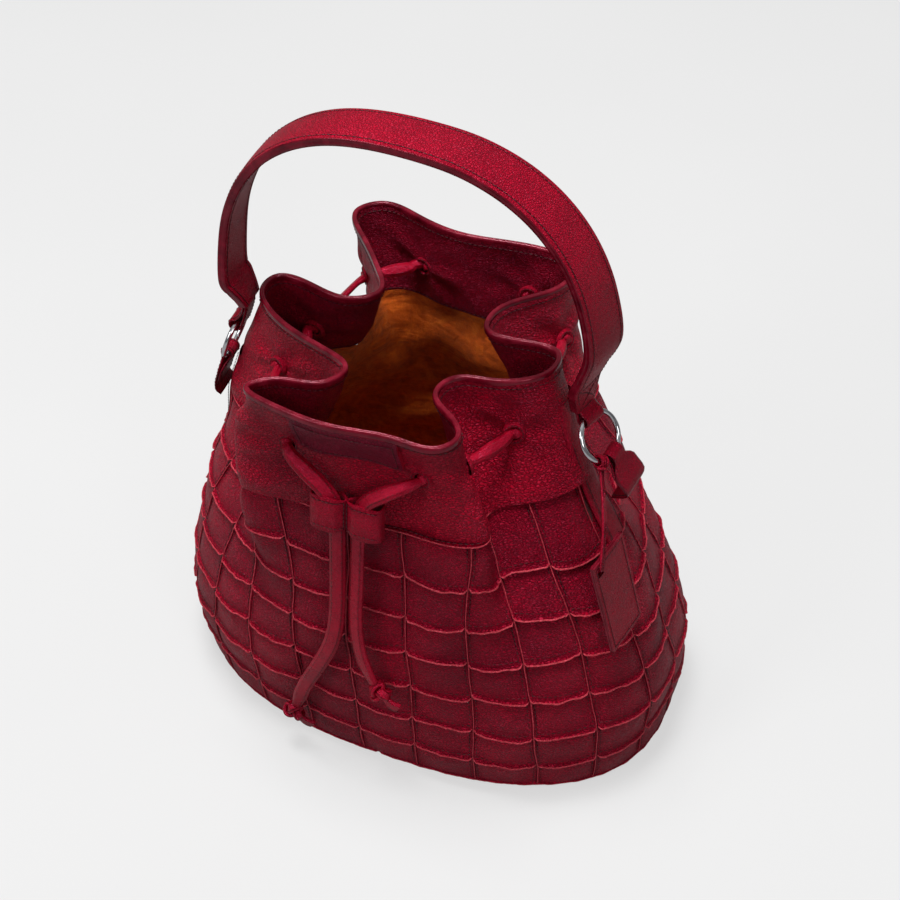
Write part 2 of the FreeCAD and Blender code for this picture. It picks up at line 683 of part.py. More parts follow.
# ---- assembly -----------------------------------------------------------------------------
def build():
    frames = {side: SideFrame(side) for side in ("left", "right")}
    parts = {}

    parts["base_panel"] = plate(0.0, BASE_PANEL, 0.4)
    board_low = BASE_PANEL + GAP
    parts["base_stiffener_board"] = plate(board_low, board_low + BASE_BOARD, 5.5)
    floor_low = board_low + BASE_BOARD + GAP
    parts["lining_floor"] = plate(floor_low, floor_low + LINING, 5.5)

    wall_low = BASE_PANEL + GAP
    row_height = (SEAM_HEIGHT - wall_low) / TILE_ROWS
    for row in range(TILE_ROWS):
        low = wall_low + row * row_height
        high = low + row_height - GAP
        parts[f"patchwork_row_{row + 1}"] = wall(low, high, 0.0, PATCHWORK)

    shell_out = PATCHWORK + INTERLINING_GAP
    shell_in = shell_out + INTERLINING
    parts["interlining"] = wall(wall_low, SEAM_HEIGHT - GAP, shell_out, shell_in, INNER_FOLLOW)
    facing_low = RIM_HEIGHT - FACING_DEPTH
    lining_out = shell_in + LINING_GAP
    parts["suede_lining"] = wall(
        floor_low + LINING + GAP, facing_low - GAP, lining_out, lining_out + LINING, INNER_FOLLOW
    )

    binding_low = RIM_HEIGHT - BINDING_HEIGHT
    collar = wall(SEAM_HEIGHT, binding_low - GAP, 0.0, LEATHER)
    facing_in = 2 * LEATHER + LAYER_GAP
    facing = wall(facing_low, binding_low - GAP, LEATHER + LAYER_GAP, facing_in)
    parts["rim_binding"] = wall(binding_low, RIM_HEIGHT, -0.3, facing_in + 0.3)

    rings = []
    for share in EYELETS:
        here, normal, _ = surface_at(share, EYELET_HEIGHT)
        hole = Part.makeCylinder(EYELET_HOLE_RADIUS, 16, here - normal * 10, normal)
        collar = collar.cut(hole)
        facing = facing.cut(hole)
        rim = Part.makeCylinder(EYELET_RING_RADIUS, EYELET_PROUD + 0.6, here + normal * 0.3, normal)
        rings.append(rim.cut(hole))
    parts["collar"] = collar
    parts["collar_facing"] = facing
    parts["eyelet_rings"] = Part.makeCompound(rings)
    parts["rim_patch"] = skin_patch([(257.0, 0), (269.0, 0), (281.0, 0)], 0.036, 0.4, LEATHER)

    parts["drawstring"] = cord(threaded_lace(), LACE_RADIUS, "drawstring")
    parts["lace_tail_left"] = cord(TAIL_LEFT, LACE_RADIUS, "left tail")
    parts["lace_tail_right"] = cord(TAIL_RIGHT, LACE_RADIUS, "right tail")
    parts["lace_knot_left"] = knot(KNOT_LEFT, V(0.75, 0.1, -0.55), KNOT_RADIUS)
    parts["lace_knot_right"] = knot(KNOT_RIGHT, V(0.8, 0.0, -0.5), KNOT_RADIUS)
    parts["lace_slider"] = slider()

    stations = handle_stations()
    half_core = STRAP_CORE / 2
    parts["handle_strap"] = band(stations, half_core + 0.05, half_core + STRAP_PLY, 0.0)
    parts["handle_lining"] = band(stations, -half_core - STRAP_PLY, -half_core - 0.05, 0.0)
    padding = half_core - PADDING_SLACK
    parts["handle_padding"] = band(stations[4:-4], -padding, padding, 5.0)

    for side, frame in frames.items():
        parts[f"handle_loop_{side}"] = handle_loop(frame, LOOP_ROUTE[side])
        parts[f"o_ring_{side}"] = ring(frame)
        parts[f"ring_tab_{side}"] = ring_tab(frame.turned(TAB_TURN[side]), TAB_ANCHOR[side])
        parts[f"side_strip_{side}"] = side_strip(side)

    parts["tag_front"] = tag_ply(0.05, TAG_PLY)
    parts["tag_back"] = tag_ply(-TAG_PLY, -0.05)
    parts["lanyard_hitch"] = hitch(frames["right"])
    parts["tag_lanyard"] = cord(lanyard_points(frames["right"]), LANYARD_RADIUS, "lanyard")
    return parts


def main():
    os.makedirs("parts", exist_ok=True)
    for name, shape in build().items():
        shape.exportStep(f"parts/{name}.step")
        print(name, "valid" if shape.isValid() else "NOT VALID", "solids", len(shape.Solids),
              "volume", round(shape.Volume / 1000, 2), "cm3")


main()
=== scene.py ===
import bpy
import copy
import math
import numpy as np
from mathutils import Matrix, Vector


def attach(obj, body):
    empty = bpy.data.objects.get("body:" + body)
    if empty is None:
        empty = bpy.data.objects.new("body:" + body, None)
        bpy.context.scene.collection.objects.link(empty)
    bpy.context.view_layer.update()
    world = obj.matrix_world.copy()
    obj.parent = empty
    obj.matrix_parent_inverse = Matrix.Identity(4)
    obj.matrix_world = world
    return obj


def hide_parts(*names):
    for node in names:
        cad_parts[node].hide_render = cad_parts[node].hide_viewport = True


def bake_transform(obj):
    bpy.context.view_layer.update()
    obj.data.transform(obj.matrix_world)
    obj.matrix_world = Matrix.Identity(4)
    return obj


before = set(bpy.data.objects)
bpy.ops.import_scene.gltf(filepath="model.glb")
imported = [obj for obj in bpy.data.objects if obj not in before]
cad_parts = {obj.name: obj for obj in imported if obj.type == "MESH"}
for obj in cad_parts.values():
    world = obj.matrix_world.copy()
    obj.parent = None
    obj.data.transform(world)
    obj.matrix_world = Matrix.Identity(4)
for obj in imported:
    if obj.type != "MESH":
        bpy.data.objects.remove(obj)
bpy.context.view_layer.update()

# Every length below is in millimetres, as in the CAD. Meshes are scaled to metres as they are made.
MM = 0.001
RIM = 286.0
SEAM = 206.0
EYELET_Z = 250.0
BASE = 2.5
LEAN = np.array([-16.0, -7.5])
ROUNDNESS = 2.43
PLAN_STEPS = 240
RIM_PLAN = [
    (-18, -102), (15, -98), (38, -96), (46, -84), (36, -67), (20, -52), (24, -38), (42, -32),
    (63, -23), (74, -8), (72, 8), (52, 11), (25, 13), (24, 28), (40, 50), (54, 73), (50, 90),
    (15, 98), (-25, 93), (-58, 100), (-86, 104), (-98, 90), (-84, 66), (-58, 36), (-50, 18),
    (-60, 8), (-93, 11), (-114, 9), (-117, -4), (-107, -20), (-80, -36), (-52, -45), (-38, -54),
    (-44, -68), (-70, -76), (-84, -90), (-64, -99),
]
# height, half width, half depth, share of the rim's pleats, draw sideways, draw on the front
PROFILE = np.array([
    (0, 161, 104, 0, 1, .9), (6, 165, 107, 0, 1, .9), (50, 168, 110, 0, 1.01, .9),
    (100, 166, 108, .06, 1.02, .9), (140, 160, 103, .16, 1.03, .9), (175, 150, 96, .30, 1.04, .9),
    (SEAM, 137, 90, .45, 1.04, .9), (250, 122, 84, .81, 1.03, .89), (RIM, 97, 95, 1, 1, 1),
])
# share of the outline, spread, sideways, backwards, heights of its start, full size and end
SWELLS = [
    (.9215, .027, -16, -6, 130, 200, 243, 283), (.09, .026, 9, -4, 130, 200, 225, 262),
    (.765, .04, -9, 0, 165, 212, 240, 280),
]
EYELETS = [0.046, 0.100, 0.171, 0.262, 0.345, 0.421, 0.504, 0.585, 0.692, 0.800, 0.900, 0.956]


# ---- the body's smooth surface ------------------------------------------------------------
def profile(column, z):
    """One column of PROFILE at heights z, by monotone cubic interpolation."""
    x, y = PROFILE[:, 0], PROFILE[:, column]
    h = np.diff(x)
    d = np.diff(y) / h
    m = np.zeros(len(x))
    m[0], m[-1] = d[0], d[-1]
    for i in range(1, len(x) - 1):
        if d[i - 1] * d[i] > 0:
            w1, w2 = 2 * h[i] + h[i - 1], h[i] + 2 * h[i - 1]
            m[i] = (w1 + w2) / (w1 / d[i - 1] + w2 / d[i])
    z = np.clip(z, x[0], x[-1])
    i = np.clip(np.searchsorted(x, z, side="right") - 1, 0, len(h) - 1)
    t = (z - x[i]) / h[i]
    return ((2 * t**3 - 3 * t**2 + 1) * y[i] + (t**3 - 2 * t**2 + t) * h[i] * m[i]
            + (3 * t**2 - 2 * t**3) * y[i + 1] + (t**3 - t**2) * h[i] * m[i + 1])


def distances(path):
    """Distance of each point of a path from its start."""
    steps = np.linalg.norm(np.diff(path, axis=0), axis=1)
    return np.concatenate([[0], np.cumsum(steps)])


def even(points, count):
    """A closed outline again with count points at equal steps."""
    closed = np.vstack([points, points[:1]])
    reach = distances(closed)
    want = np.arange(count) * reach[-1] / count
    return np.stack([np.interp(want, reach, closed[:, k]) for k in (0, 1)], axis=1)


def round_curve(points, count):
    """Closed smooth curve through points, by a periodic cubic spline on their chord lengths."""
    p = np.array(points, float)
    n = len(p)
    h = np.linalg.norm(np.roll(p, -1, axis=0) - p, axis=1)
    system = np.zeros((n, n))
    for i in range(n):
        system[i, (i - 1) % n] += h[i - 1]
        system[i, i] += 2 * (h[i - 1] + h[i])
        system[i, (i + 1) % n] += h[i]
    slope = (np.roll(p, -1, axis=0) - p) / h[:, None]
    bend = np.linalg.solve(system, 6 * (slope - np.roll(slope, 1, axis=0)))
    out = []
    for i in range(n):
        t = np.linspace(0, h[i], count, endpoint=False)[:, None]
        a, b = bend[i], bend[(i + 1) % n]
        first = slope[i] - h[i] * (2 * a + b) / 6
        out.append(p[i] + first * t + a * t**2 / 2 + (b - a) * t**3 / (6 * h[i]))
    return np.vstack(out)


GATHERED = even(round_curve(RIM_PLAN, 30), PLAN_STEPS) - LEAN
LEVELS = np.arange(0, RIM + 1, 2.0)


def ease(value, low, high):
    t = np.clip((value - low) / (high - low), 0, 1)
    return t * t * (3 - 2 * t)


def plan(z):
    a = np.arange(720) * 2 * np.pi / 720 - np.pi / 2
    cos, sin = np.cos(a), np.sin(a)
    oval = np.stack([
        profile(1, z) * np.sign(cos) * np.abs(cos) ** (2 / ROUNDNESS),
        profile(2, z) * np.sign(sin) * np.abs(sin) ** (2 / ROUNDNESS),
    ], axis=1)
    oval = even(oval, PLAN_STEPS)
    pleat = profile(3, z)
    draw = np.stack([
        np.full(PLAN_STEPS, profile(4, z)), np.where(GATHERED[:, 1] < 0, profile(5, z), 1.0)
    ], axis=1)
    points = LEAN * (z / RIM) + (1 - pleat) * oval + pleat * draw * GATHERED
    shares = np.arange(PLAN_STEPS) / PLAN_STEPS
    for middle, spread, sideways, backwards, start, full, stay, end in SWELLS:
        away = (shares - middle + .5) % 1 - .5
        amount = np.exp(-(away / spread) ** 2) * ease(z, start, full) * (1 - ease(z, stay, end))
        points += amount[:, None] * np.array([sideways, backwards])
    return points


PLANS = np.array([plan(z) for z in LEVELS])


def smooth(u, z):
    """Outer face at shares u round the body, from the front middle to the right, and heights z."""
    u, z = np.broadcast_arrays(np.asarray(u, float), np.asarray(z, float))
    at = u * PLAN_STEPS
    k = np.floor(at).astype(int)
    f = (at - k)[..., None]
    level = np.clip(z / 2.0, 0, len(LEVELS) - 1.001)
    j = np.floor(level).astype(int)
    g = (level - j)[..., None]
    weights = (
        (-f + 2 * f**2 - f**3) / 2, (2 - 5 * f**2 + 3 * f**3) / 2,
        (f + 4 * f**2 - 3 * f**3) / 2, (f**3 - f**2) / 2,
    )
    xy = 0
    for step, w in zip((-1, 0, 1, 2), weights):
        column = (k + step) % PLAN_STEPS
        xy = xy + w * (PLANS[j, column] * (1 - g) + PLANS[j + 1, column] * g)
    return np.concatenate([xy, z[..., None]], axis=-1)


def unit(v):
    return v / np.maximum(np.linalg.norm(v, axis=-1, keepdims=True), 1e-9)


def outward(u, z):
    along = smooth(u + 1 / 300, z) - smooth(u - 1 / 300, z)
    z = np.asarray(z, float)
    up = smooth(u, np.minimum(z + 2, RIM)) - smooth(u, np.maximum(z - 2, 0))
    return unit(np.cross(along, up))


def skin(u, z, proud=0.0):
    """Points of the body's face, standing proud of it, or inside it where proud is negative."""
    return smooth(u, z) + outward(u, z) * np.asarray(proud, float)[..., None]


def lumps(u, z, seed, size, height):
    """Soft random unevenness over the body, the same each run, that closes on itself."""
    rng = np.random.default_rng(seed)
    total = 0
    for _ in range(9):
        turns = round(rng.uniform(-1, 1) * 850 / size)
        rise = rng.uniform(-1, 1) * 2 * np.pi / size
        total = total + np.sin(2 * np.pi * turns * u + rise * z + rng.uniform(0, 6.28))
    return total * height / 3


def wander(t, seed, size, height):
    """Smooth random wobble along a line of distance t."""
    rng = np.random.default_rng(seed)
    total = 0
    for _ in range(5):
        total = total + np.sin(t * 2 * np.pi / (size * rng.uniform(.6, 1.8)) + rng.uniform(0, 6.28))
    return total * height / 2.2


# ---- making meshes ------------------------------------------------------------------------
class Build:
    """Gathers points and faces of one piece, each face with its material's number."""

    def __init__(self):
        self.points = []
        self.faces = []
        self.kinds = []
        self.count = 0

    def add(self, points, faces, kind=0):
        points = np.asarray(points, float).reshape(-1, 3)
        self.points.append(points)
        kinds = kind if hasattr(kind, "__len__") else [kind] * len(faces)
        for face, k in zip(faces, kinds):
            self.faces.append(tuple(int(i) + self.count for i in face))
            self.kinds.append(k)
        self.count += len(points)

    def grid(self, points, kind=0, wrap_rows=False, wrap_columns=False, flip=False, keep=None):
        rows, columns = points.shape[:2]
        i, j = np.meshgrid(np.arange(rows if wrap_rows else rows - 1),
                           np.arange(columns if wrap_columns else columns - 1), indexing="ij")
        a = i * columns + j
        b = i * columns + (j + 1) % columns
        c = (i + 1) % rows * columns + (j + 1) % columns
        d = (i + 1) % rows * columns + j
        faces = np.stack([a, d, c, b] if flip else [a, b, c, d], axis=-1).reshape(-1, 4)
        if keep is not None:
            good = keep.reshape(-1)
            faces = faces[good[faces].all(axis=1)]
        self.add(points, faces, kind)

    def sweep(self, rings, closed=False, kinds=None):
        """Skin over closed rings of points, one after another, capped unless it is closed."""
        rings = np.asarray(rings, float)
        count, sides = rings.shape[:2]
        kinds = [0] * sides if kinds is None else kinds
        faces = []
        which = []
        for i in range(count if closed else count - 1):
            n = (i + 1) % count
            for j in range(sides):
                m = (j + 1) % sides
                faces.append((i * sides + j, n * sides + j, n * sides + m, i * sides + m))
                which.append(kinds[j])
        if not closed:
            faces += [tuple(range(sides)), tuple(range((count - 1) * sides, count * sides))[::-1]]
            which += [0, 0]
        self.add(rings, faces, which)

    def object(self, name, body, materials, replaces=(), bend=None):
        """Makes the piece, on no body if it is the stage, and on none either when bend is given."""
        mesh = bpy.data.meshes.new(name)
        mesh.from_pydata((np.vstack(self.points) * MM).tolist(), [], self.faces)
        for material in materials:
            mesh.materials.append(material)
        mesh.polygons.foreach_set("material_index", self.kinds)
        mesh.polygons.foreach_set("use_smooth", [True] * len(mesh.polygons))
        mesh.update()
        piece = bpy.data.objects.new(name, mesh)
        bpy.context.scene.collection.objects.link(piece)
        if bend:
            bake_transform(piece)
        elif body is None:
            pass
        else:
            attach(piece, body)
        if replaces:
            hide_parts(*replaces)
        return piece


def stitched(build, name, body="bag", bend=None):
    """Makes a piece of stitches that are gathered in build, in their channels darkened with painted
    shade.
    """
    build.object(name, body, [cotton, painted_shade_leather], bend=bend)


def directions(path, closed=False):
    if closed:
        return unit(np.roll(path, -1, axis=0) - np.roll(path, 1, axis=0))
    return unit(np.gradient(path, axis=0))


def axes(path, normal, closed=False):
    """Directions across a strip and out of its face, at each point of its path."""
    along = directions(path, closed)
    across = unit(np.cross(along, normal))
    return across, np.cross(across, along)


def flat_rings(path, normal, outline, width=1.0, thick=1.0, closed=False):
    """Rings for a strip: outline holds (across, out) pairs, scaled by width and thick."""
    across, out = axes(path, normal, closed)
    outline = np.asarray(outline, float)
    width = np.broadcast_to(width, len(path))[:, None, None]
    thick = np.broadcast_to(thick, len(path))[:, None, None]
    return (path[:, None] + across[:, None] * outline[None, :, :1] * width
            + out[:, None] * outline[None, :, 1:] * thick)


def pill(half_width, half_thick, crown=0.0):
    """Outline of a flat strip with rounded edges, (across, out), crowned on its outer side."""
    points = []
    for side, start in ((1, -90), (-1, 90)):
        for turn in range(0, 181, 45):
            a = math.radians(start + turn)
            points.append((side * (half_width - half_thick) + half_thick * math.cos(a),
                           half_thick * math.sin(a)))
        if side > 0:
            for x in np.linspace(half_width, -half_width, 9)[1:-1]:
                points.append((x * .86, half_thick + crown * (1 - (x / half_width) ** 2)))
    return points


def unit_pill(thin, crown=0.0):
    """The same for a strip that is one unit wide and thick each way, for scaling."""
    return np.asarray(pill(1.0, thin, crown)) / (1, thin)


# pitch, length and radius of a stitch
SEAM_STITCH = (3.4, 2.2, .3)
RIM_STITCH = (3.3, 2.3, .34)
FINE_STITCH = (3.0, 2.1, .32)
STRAP_STITCH = (3.2, 2.3, .36)
LACE_STITCH = (3.2, 2.2, .3)


def thread(build, path, normal, pitch, length, radius, lift):
    """Row of stitches along a line, each a small capsule half sunk in the leather."""
    path = np.asarray(path, float)
    reach = distances(path)
    normal = np.broadcast_to(normal, path.shape)
    places = np.arange(pitch / 2, reach[-1] - pitch / 3, pitch)
    if not len(places):
        return

    def at(where, values):
        return np.stack([np.interp(where, reach, values[:, k]) for k in range(3)], axis=-1)

    # the row lies in a shallow channel that its holes and tension draw in; the channel is darkened
    # with painted shade
    across = np.cross(directions(path), unit(normal))
    build.grid(np.stack([path - across * .38 + unit(normal) * .05,
                         path + across * .38 + unit(normal) * .05], axis=1), 1)
    sides = np.arange(5) * 2 * np.pi / 5
    shape = ((-.5, .25), (-.38, .85), (.38, .85), (.5, .25))
    middle, n = at(places, path), unit(at(places, normal))
    t = unit(at(places + .4, path) - at(places - .4, path))
    b = np.cross(t, n)
    for m, tt, nn, bb in zip(middle, t, n, b):
        rings = [m + tt * length * s + nn * lift + radius * w * (
            np.cos(sides)[:, None] * bb + np.sin(sides)[:, None] * nn) for s, w in shape]
        build.sweep(rings)


# ---- materials ----------------------------------------------------------------------------
class Nodes:
    """A material and short ways to add nodes to it."""

    def __init__(self, name):
        self.material = bpy.data.materials.new(name)
        self.material.use_nodes = True
        self.tree = self.material.node_tree
        self.shader = self.tree.nodes["Principled BSDF"]
        self.where = self.add("ShaderNodeTexCoord").outputs["Object"]

    def add(self, kind, inputs=None, **settings):
        node = self.tree.nodes.new(kind)
        for key, value in settings.items():
            setattr(node, key, value)
        for key, value in (inputs or {}).items():
            self.put(node.inputs[key], value)
        return node

    def put(self, socket, value):
        if isinstance(value, bpy.types.NodeSocket):
            self.tree.links.new(value, socket)
        else:
            socket.default_value = value

    def set(self, **inputs):
        for key, value in inputs.items():
            self.put(self.shader.inputs[key.replace("_", " ")], value)

    def math(self, operation, a, b=0.5):
        return self.add("ShaderNodeMath", {0: a, 1: b}, operation=operation).outputs[0]

    def noise(self, scale, detail=2.0, roughness=0.5, vector=None, distortion=0.0):
        return self.add("ShaderNodeTexNoise", {
            "Vector": vector or self.where, "Scale": scale, "Detail": detail,
            "Roughness": roughness, "Distortion": distortion,
        }).outputs["Fac"]

    def spread(self, value, low, high, to_low=0.0, to_high=1.0):
        return self.add("ShaderNodeMapRange", {
            "Value": value, "From Min": low, "From Max": high, "To Min": to_low, "To Max": to_high,
        }).outputs["Result"]

    def ramp(self, value, stops):
        """Colour ramp through (place, sRGB colour) stops."""
        node = self.add("ShaderNodeValToRGB", {"Fac": value})
        stops = list(stops)
        while len(node.color_ramp.elements) < len(stops):
            node.color_ramp.elements.new(0.5)
        for element, (place, colour) in zip(node.color_ramp.elements, stops):
            element.position = place
            element.color = (*srgb(*colour), 1)
        return node.outputs["Color"]

    def mix(self, share, a, b, blend="MIX"):
        node = self.add("ShaderNodeMix", data_type="RGBA", blend_type=blend)
        for socket, value in ((0, share), (6, a), (7, b)):
            self.put(node.inputs[socket], value)
        return node.outputs[2]

    def total(self, *terms):
        """Sum of (weight, value) terms."""
        parts = [self.math("MULTIPLY", value, weight) for weight, value in terms]
        out = parts[0]
        for part in parts[1:]:
            out = self.math("ADD", out, part)
        return out

    def squat(self, amount):
        """Coordinates in which a pattern comes out that much flatter than it is wide."""
        return self.add("ShaderNodeVectorMath", {0: self.where, 1: (1.0, 1.0, amount)},
                        operation="MULTIPLY").outputs[0]

    def bump(self, height, distance):
        return self.add("ShaderNodeBump",
                        {"Height": height, "Distance": distance}).outputs["Normal"]


def srgb(r, g, b):
    return tuple(c / 12.92 if c <= .04045 else ((c + .055) / 1.055) ** 2.4
                 for c in (r / 255, g / 255, b / 255))


def leather(name, colours, grain, depth, rough, specular):
    """Dyed leather with pebbles of that size in millimetres; the sRGB colours go dark to light."""
    g = Nodes(name)
    # creases run level rather than upright, so the pebbles are wider than they are tall
    squat = g.squat(1.9)
    shift = g.add("ShaderNodeTexNoise", {"Vector": squat, "Scale": 420.0, "Detail": 2.0})
    bent = g.add("ShaderNodeVectorMath", {0: shift.outputs["Color"], "Scale": .0011},
                 operation="SCALE").outputs[0]
    bent = g.add("ShaderNodeVectorMath", {0: squat, 1: bent}, operation="ADD").outputs[0]
    cells = g.add("ShaderNodeTexVoronoi", {"Vector": bent, "Scale": 1000 / grain},
                  feature="DISTANCE_TO_EDGE").outputs["Distance"]
    pebble = g.math("POWER", g.spread(cells, 0.0, 0.26), 0.55)
    pores = g.noise(2600, 2.0, .5)
    line = g.math("ABSOLUTE", g.math("SUBTRACT", g.noise(260, 2.0, .5, squat, .9), .5))
    pebble = g.math("MULTIPLY", pebble, g.spread(line, 0.0, .035, .35, 1.0))
    wrinkles = g.noise(170, 3.0, .5, distortion=.6)
    height = g.total((.9, pebble), (.03, pores), (.7, wrinkles))
    broad = g.noise(14, 4.0, .55)
    fine = g.noise(160, 3.0, .6)
    colour = g.ramp(g.total((.75, broad), (.25, fine)), zip((.3, .52, .74), colours))
    # painted shade: the colour is darkened in the grain's creases and lifted a little on the pebble
    # tops as a painted highlight
    painted_crease_shade = g.spread(pebble, 0.0, 0.8, 0.36, 1.22)
    dark = g.add("ShaderNodeCombineColor", {0: painted_crease_shade, 1: painted_crease_shade, 2: painted_crease_shade}).outputs[0]
    g.set(Base_Color=g.mix(1.0, colour, dark, "MULTIPLY"), Roughness=g.spread(fine, .3, .7, *rough),
          Normal=g.bump(height, depth), Specular_IOR_Level=specular,
          Specular_Tint=(1.0, .14, .3, 1))
    return g.material


def surface(name, tone, stops, rough, relief, depth, gloss=None, **more):
    """Material whose colour, gloss and relief follow noises, (scale, detail, roughness)."""
    g = Nodes(name)
    shade = g.noise(*tone)
    g.set(Base_Color=g.ramp(shade, stops), Normal=g.bump(g.noise(*relief), depth),
          Roughness=g.spread(g.noise(*gloss) if gloss else shade, .3, .7, *rough), **more)
    return g.material


def stitch_thread():
    g = Nodes("red_thread")
    twist = g.add("ShaderNodeTexWave", {"Vector": g.where, "Scale": 900.0, "Distortion": 2.0},
                  bands_direction="DIAGONAL").outputs["Fac"]
    g.set(Base_Color=g.ramp(g.noise(400), [(.3, (44, 0, 9)), (.6, (76, 4, 18)),
                                           (.8, (116, 16, 34))]),
          Roughness=.55, Normal=g.bump(twist, .0001))
    return g.material


def suede():
    g = Nodes("orange_brown_suede")
    nap = g.noise(1500, 5.0, .75)
    brushed = g.noise(38, 6.0, .68, distortion=1.2)
    stroke = g.noise(150, 4.0, .65, distortion=.5)
    folds = g.noise(17, 3.0, .5, g.squat(2.5), .5)
    colour = g.ramp(g.total((.6, brushed), (.4, stroke)),
                    [(.34, (146, 54, 8)), (.5, (204, 88, 16)), (.66, (240, 122, 34))])
    colour = g.mix(g.spread(nap, .35, .65, 0.0, .4), colour, (*srgb(150, 54, 8), 1))
    g.set(Base_Color=colour, Roughness=.92,
          Normal=g.bump(g.total((1.0, nap), (2.0, stroke), (15.0, folds)), .0009),
          Specular_IOR_Level=.15, Sheen_Weight=.25, Sheen_Roughness=.5,
          Sheen_Tint=(1.0, .5, .2, 1))
    return g.material


collar_leather = leather("pebbled_red_leather", ((106, 0, 18), (148, 2, 28), (178, 6, 38)),
                         2.7, .00095, (.40, .50), .6)
tile_leather = leather("patchwork_red_leather", ((98, 0, 18), (136, 2, 28), (164, 6, 36)),
                       2.4, .00085, (.40, .52), .55)
strap_leather = leather("strap_red_leather", ((110, 0, 19), (142, 3, 29), (163, 8, 37)),
                        1.7, .00040, (.38, .48), .45)
lace_leather = leather("lace_red_leather", ((108, 2, 20), (148, 6, 32), (174, 16, 44)),
                       1.1, .00014, (.24, .36), .6)
patch_leather = leather("rim_patch_red_leather", ((70, 0, 16), (98, 2, 26), (122, 6, 34)),
                        1.9, .00060, (.34, .44), .6)
facing_leather = leather("facing_red_leather", ((82, 0, 15), (116, 2, 23), (142, 5, 31)),
                         2.3, .00085, (.42, .54), .45)
# painted shade: this darker leather is laid in the seam grooves, the stitch channels and the eyelet
# holes, where shade falls
painted_shade_leather = leather("seam_groove_painted_shade_leather", ((46, 0, 9), (66, 0, 13), (86, 2, 18)),
                         1.2, .00020, (.5, .6), .2)
# raw cut edge of the seams: partly its own lighter colour, partly a painted highlight along the
# seam crests
raw_edge_and_highlight = surface("raw_seam_edge_and_painted_highlight", (700, 4.0, .7),
              [(.3, (126, 6, 26)), (.5, (174, 28, 48)), (.72, (208, 74, 92))],
              (.5, .75), (1500, 3.0, .7), .0004)
edge = surface("edge_paint", (90, 4.0, .6),
               [(.3, (70, 2, 16)), (.5, (98, 6, 24)), (.75, (132, 24, 44))],
               (.14, .24), (520, 3.0), .0002, (300,), Specular_Tint=(1.0, .38, .48, 1))
metal = surface("chrome", (300, 3.0), [(.3, (196, 196, 200)), (.7, (226, 226, 230))],
                (.07, .16), (900, 2.0), .00001, Metallic=1.0)
board = surface("fibre_board", (800, 4.0, .7), [(.3, (120, 92, 66)), (.7, (150, 120, 88))],
                (.8, .95), (1600, 3.0, .6), .0002)
felt = surface("interlining_felt", (1200, 4.0, .7), [(.3, (60, 16, 20)), (.7, (86, 28, 32))],
               (.85, .95), (2400, 3.0, .6), .0004)
cotton = stitch_thread()
lining = suede()


# ---- patchwork body -----------------------------------------------------------------------
COLUMNS = 23
ROWS = 7
FIRST_SEAM = -0.011
ROW = (SEAM - BASE) / ROWS


def seam_top(u):
    """Height of the collar's lower edge, which rides up a little on the right side."""
    d = (u - .22 + .5) % 1 - .5
    return SEAM + 9 * np.exp(-(d / .085) ** 2)


def upright(j, z):
    """Share of upright seam j at height z."""
    j = j % COLUMNS
    straight = FIRST_SEAM + j / COLUMNS
    return straight + wander(z, 40 + j, 90, .0011)


def level(i, j, s, u):
    """Height of the seam over row i, at share s across column j: each sags and none line up."""
    rng = np.random.default_rng(900 + i * 40 + j % COLUMNS)
    if i <= 0:
        return BASE + 0 * s
    if i >= ROWS:
        return seam_top(u) + 0 * s
    tilt, shift, sag = rng.uniform(-1.3, 1.3), rng.uniform(-1.6, 1.6), rng.uniform(1.0, 2.7)
    return BASE + i * ROW + shift + tilt * (2 * s - 1) - sag * 4 * s * (1 - s)


def tile_points(i, j, s, t):
    """Shares and heights across one tile, s and t from 0 to 1."""
    z = BASE + (i + t) * ROW
    for _ in range(2):
        u = upright(j, z) * (1 - s) + (upright(j + 1, z) + (j % COLUMNS == COLUMNS - 1)) * s
        z = level(i, j, s, u) * (1 - t) + level(i + 1, j, s, u) * t
    return u, z


def body_lumps(u, z):
    fade = np.clip((z - BASE) / 18, 0, 1)
    return (lumps(u, z, 3, 75, 1.5) + lumps(u, z, 4, 34, .45)) * fade


def build_patchwork():
    build = Build()
    s = np.concatenate([[0], np.linspace(.02, .98, 29), [1]])[None, :]
    t = np.append(np.linspace(0, .968, 21), 1)[:, None]
    side = np.minimum(s, 1 - s) * 38
    below, above = t * ROW, (1 - t) * ROW
    level_edge = np.minimum(below, above)
    puff = 1.5 * (1 - np.exp(-(side / 7) ** 1.5)) * (1 - np.exp(-(level_edge / 6) ** 1.5))
    shingle = .9 * np.exp(-below / 5) - 1.2 * np.exp(-above / 3)
    for j in range(COLUMNS):
        for i in range(ROWS):
            rng = np.random.default_rng(5000 + i * 40 + j)
            u, z = tile_points(i, j, s, t)
            slope = rng.uniform(-.5, .5) * (2 * s - 1) + rng.uniform(-.3, .3) * (2 * t - 1)
            tilt = slope * np.sin(np.pi * s) * np.sin(np.pi * t) * 2
            rise = puff + shingle + tilt + body_lumps(u, z)
            # the strip beside each seam lies in its groove, darkened with painted shade
            kinds = np.zeros((21, 30), int)
            kinds[-1] = kinds[:, 0] = kinds[:, -1] = 1
            build.grid(skin(u, z, rise), kinds.reshape(-1))
    return build


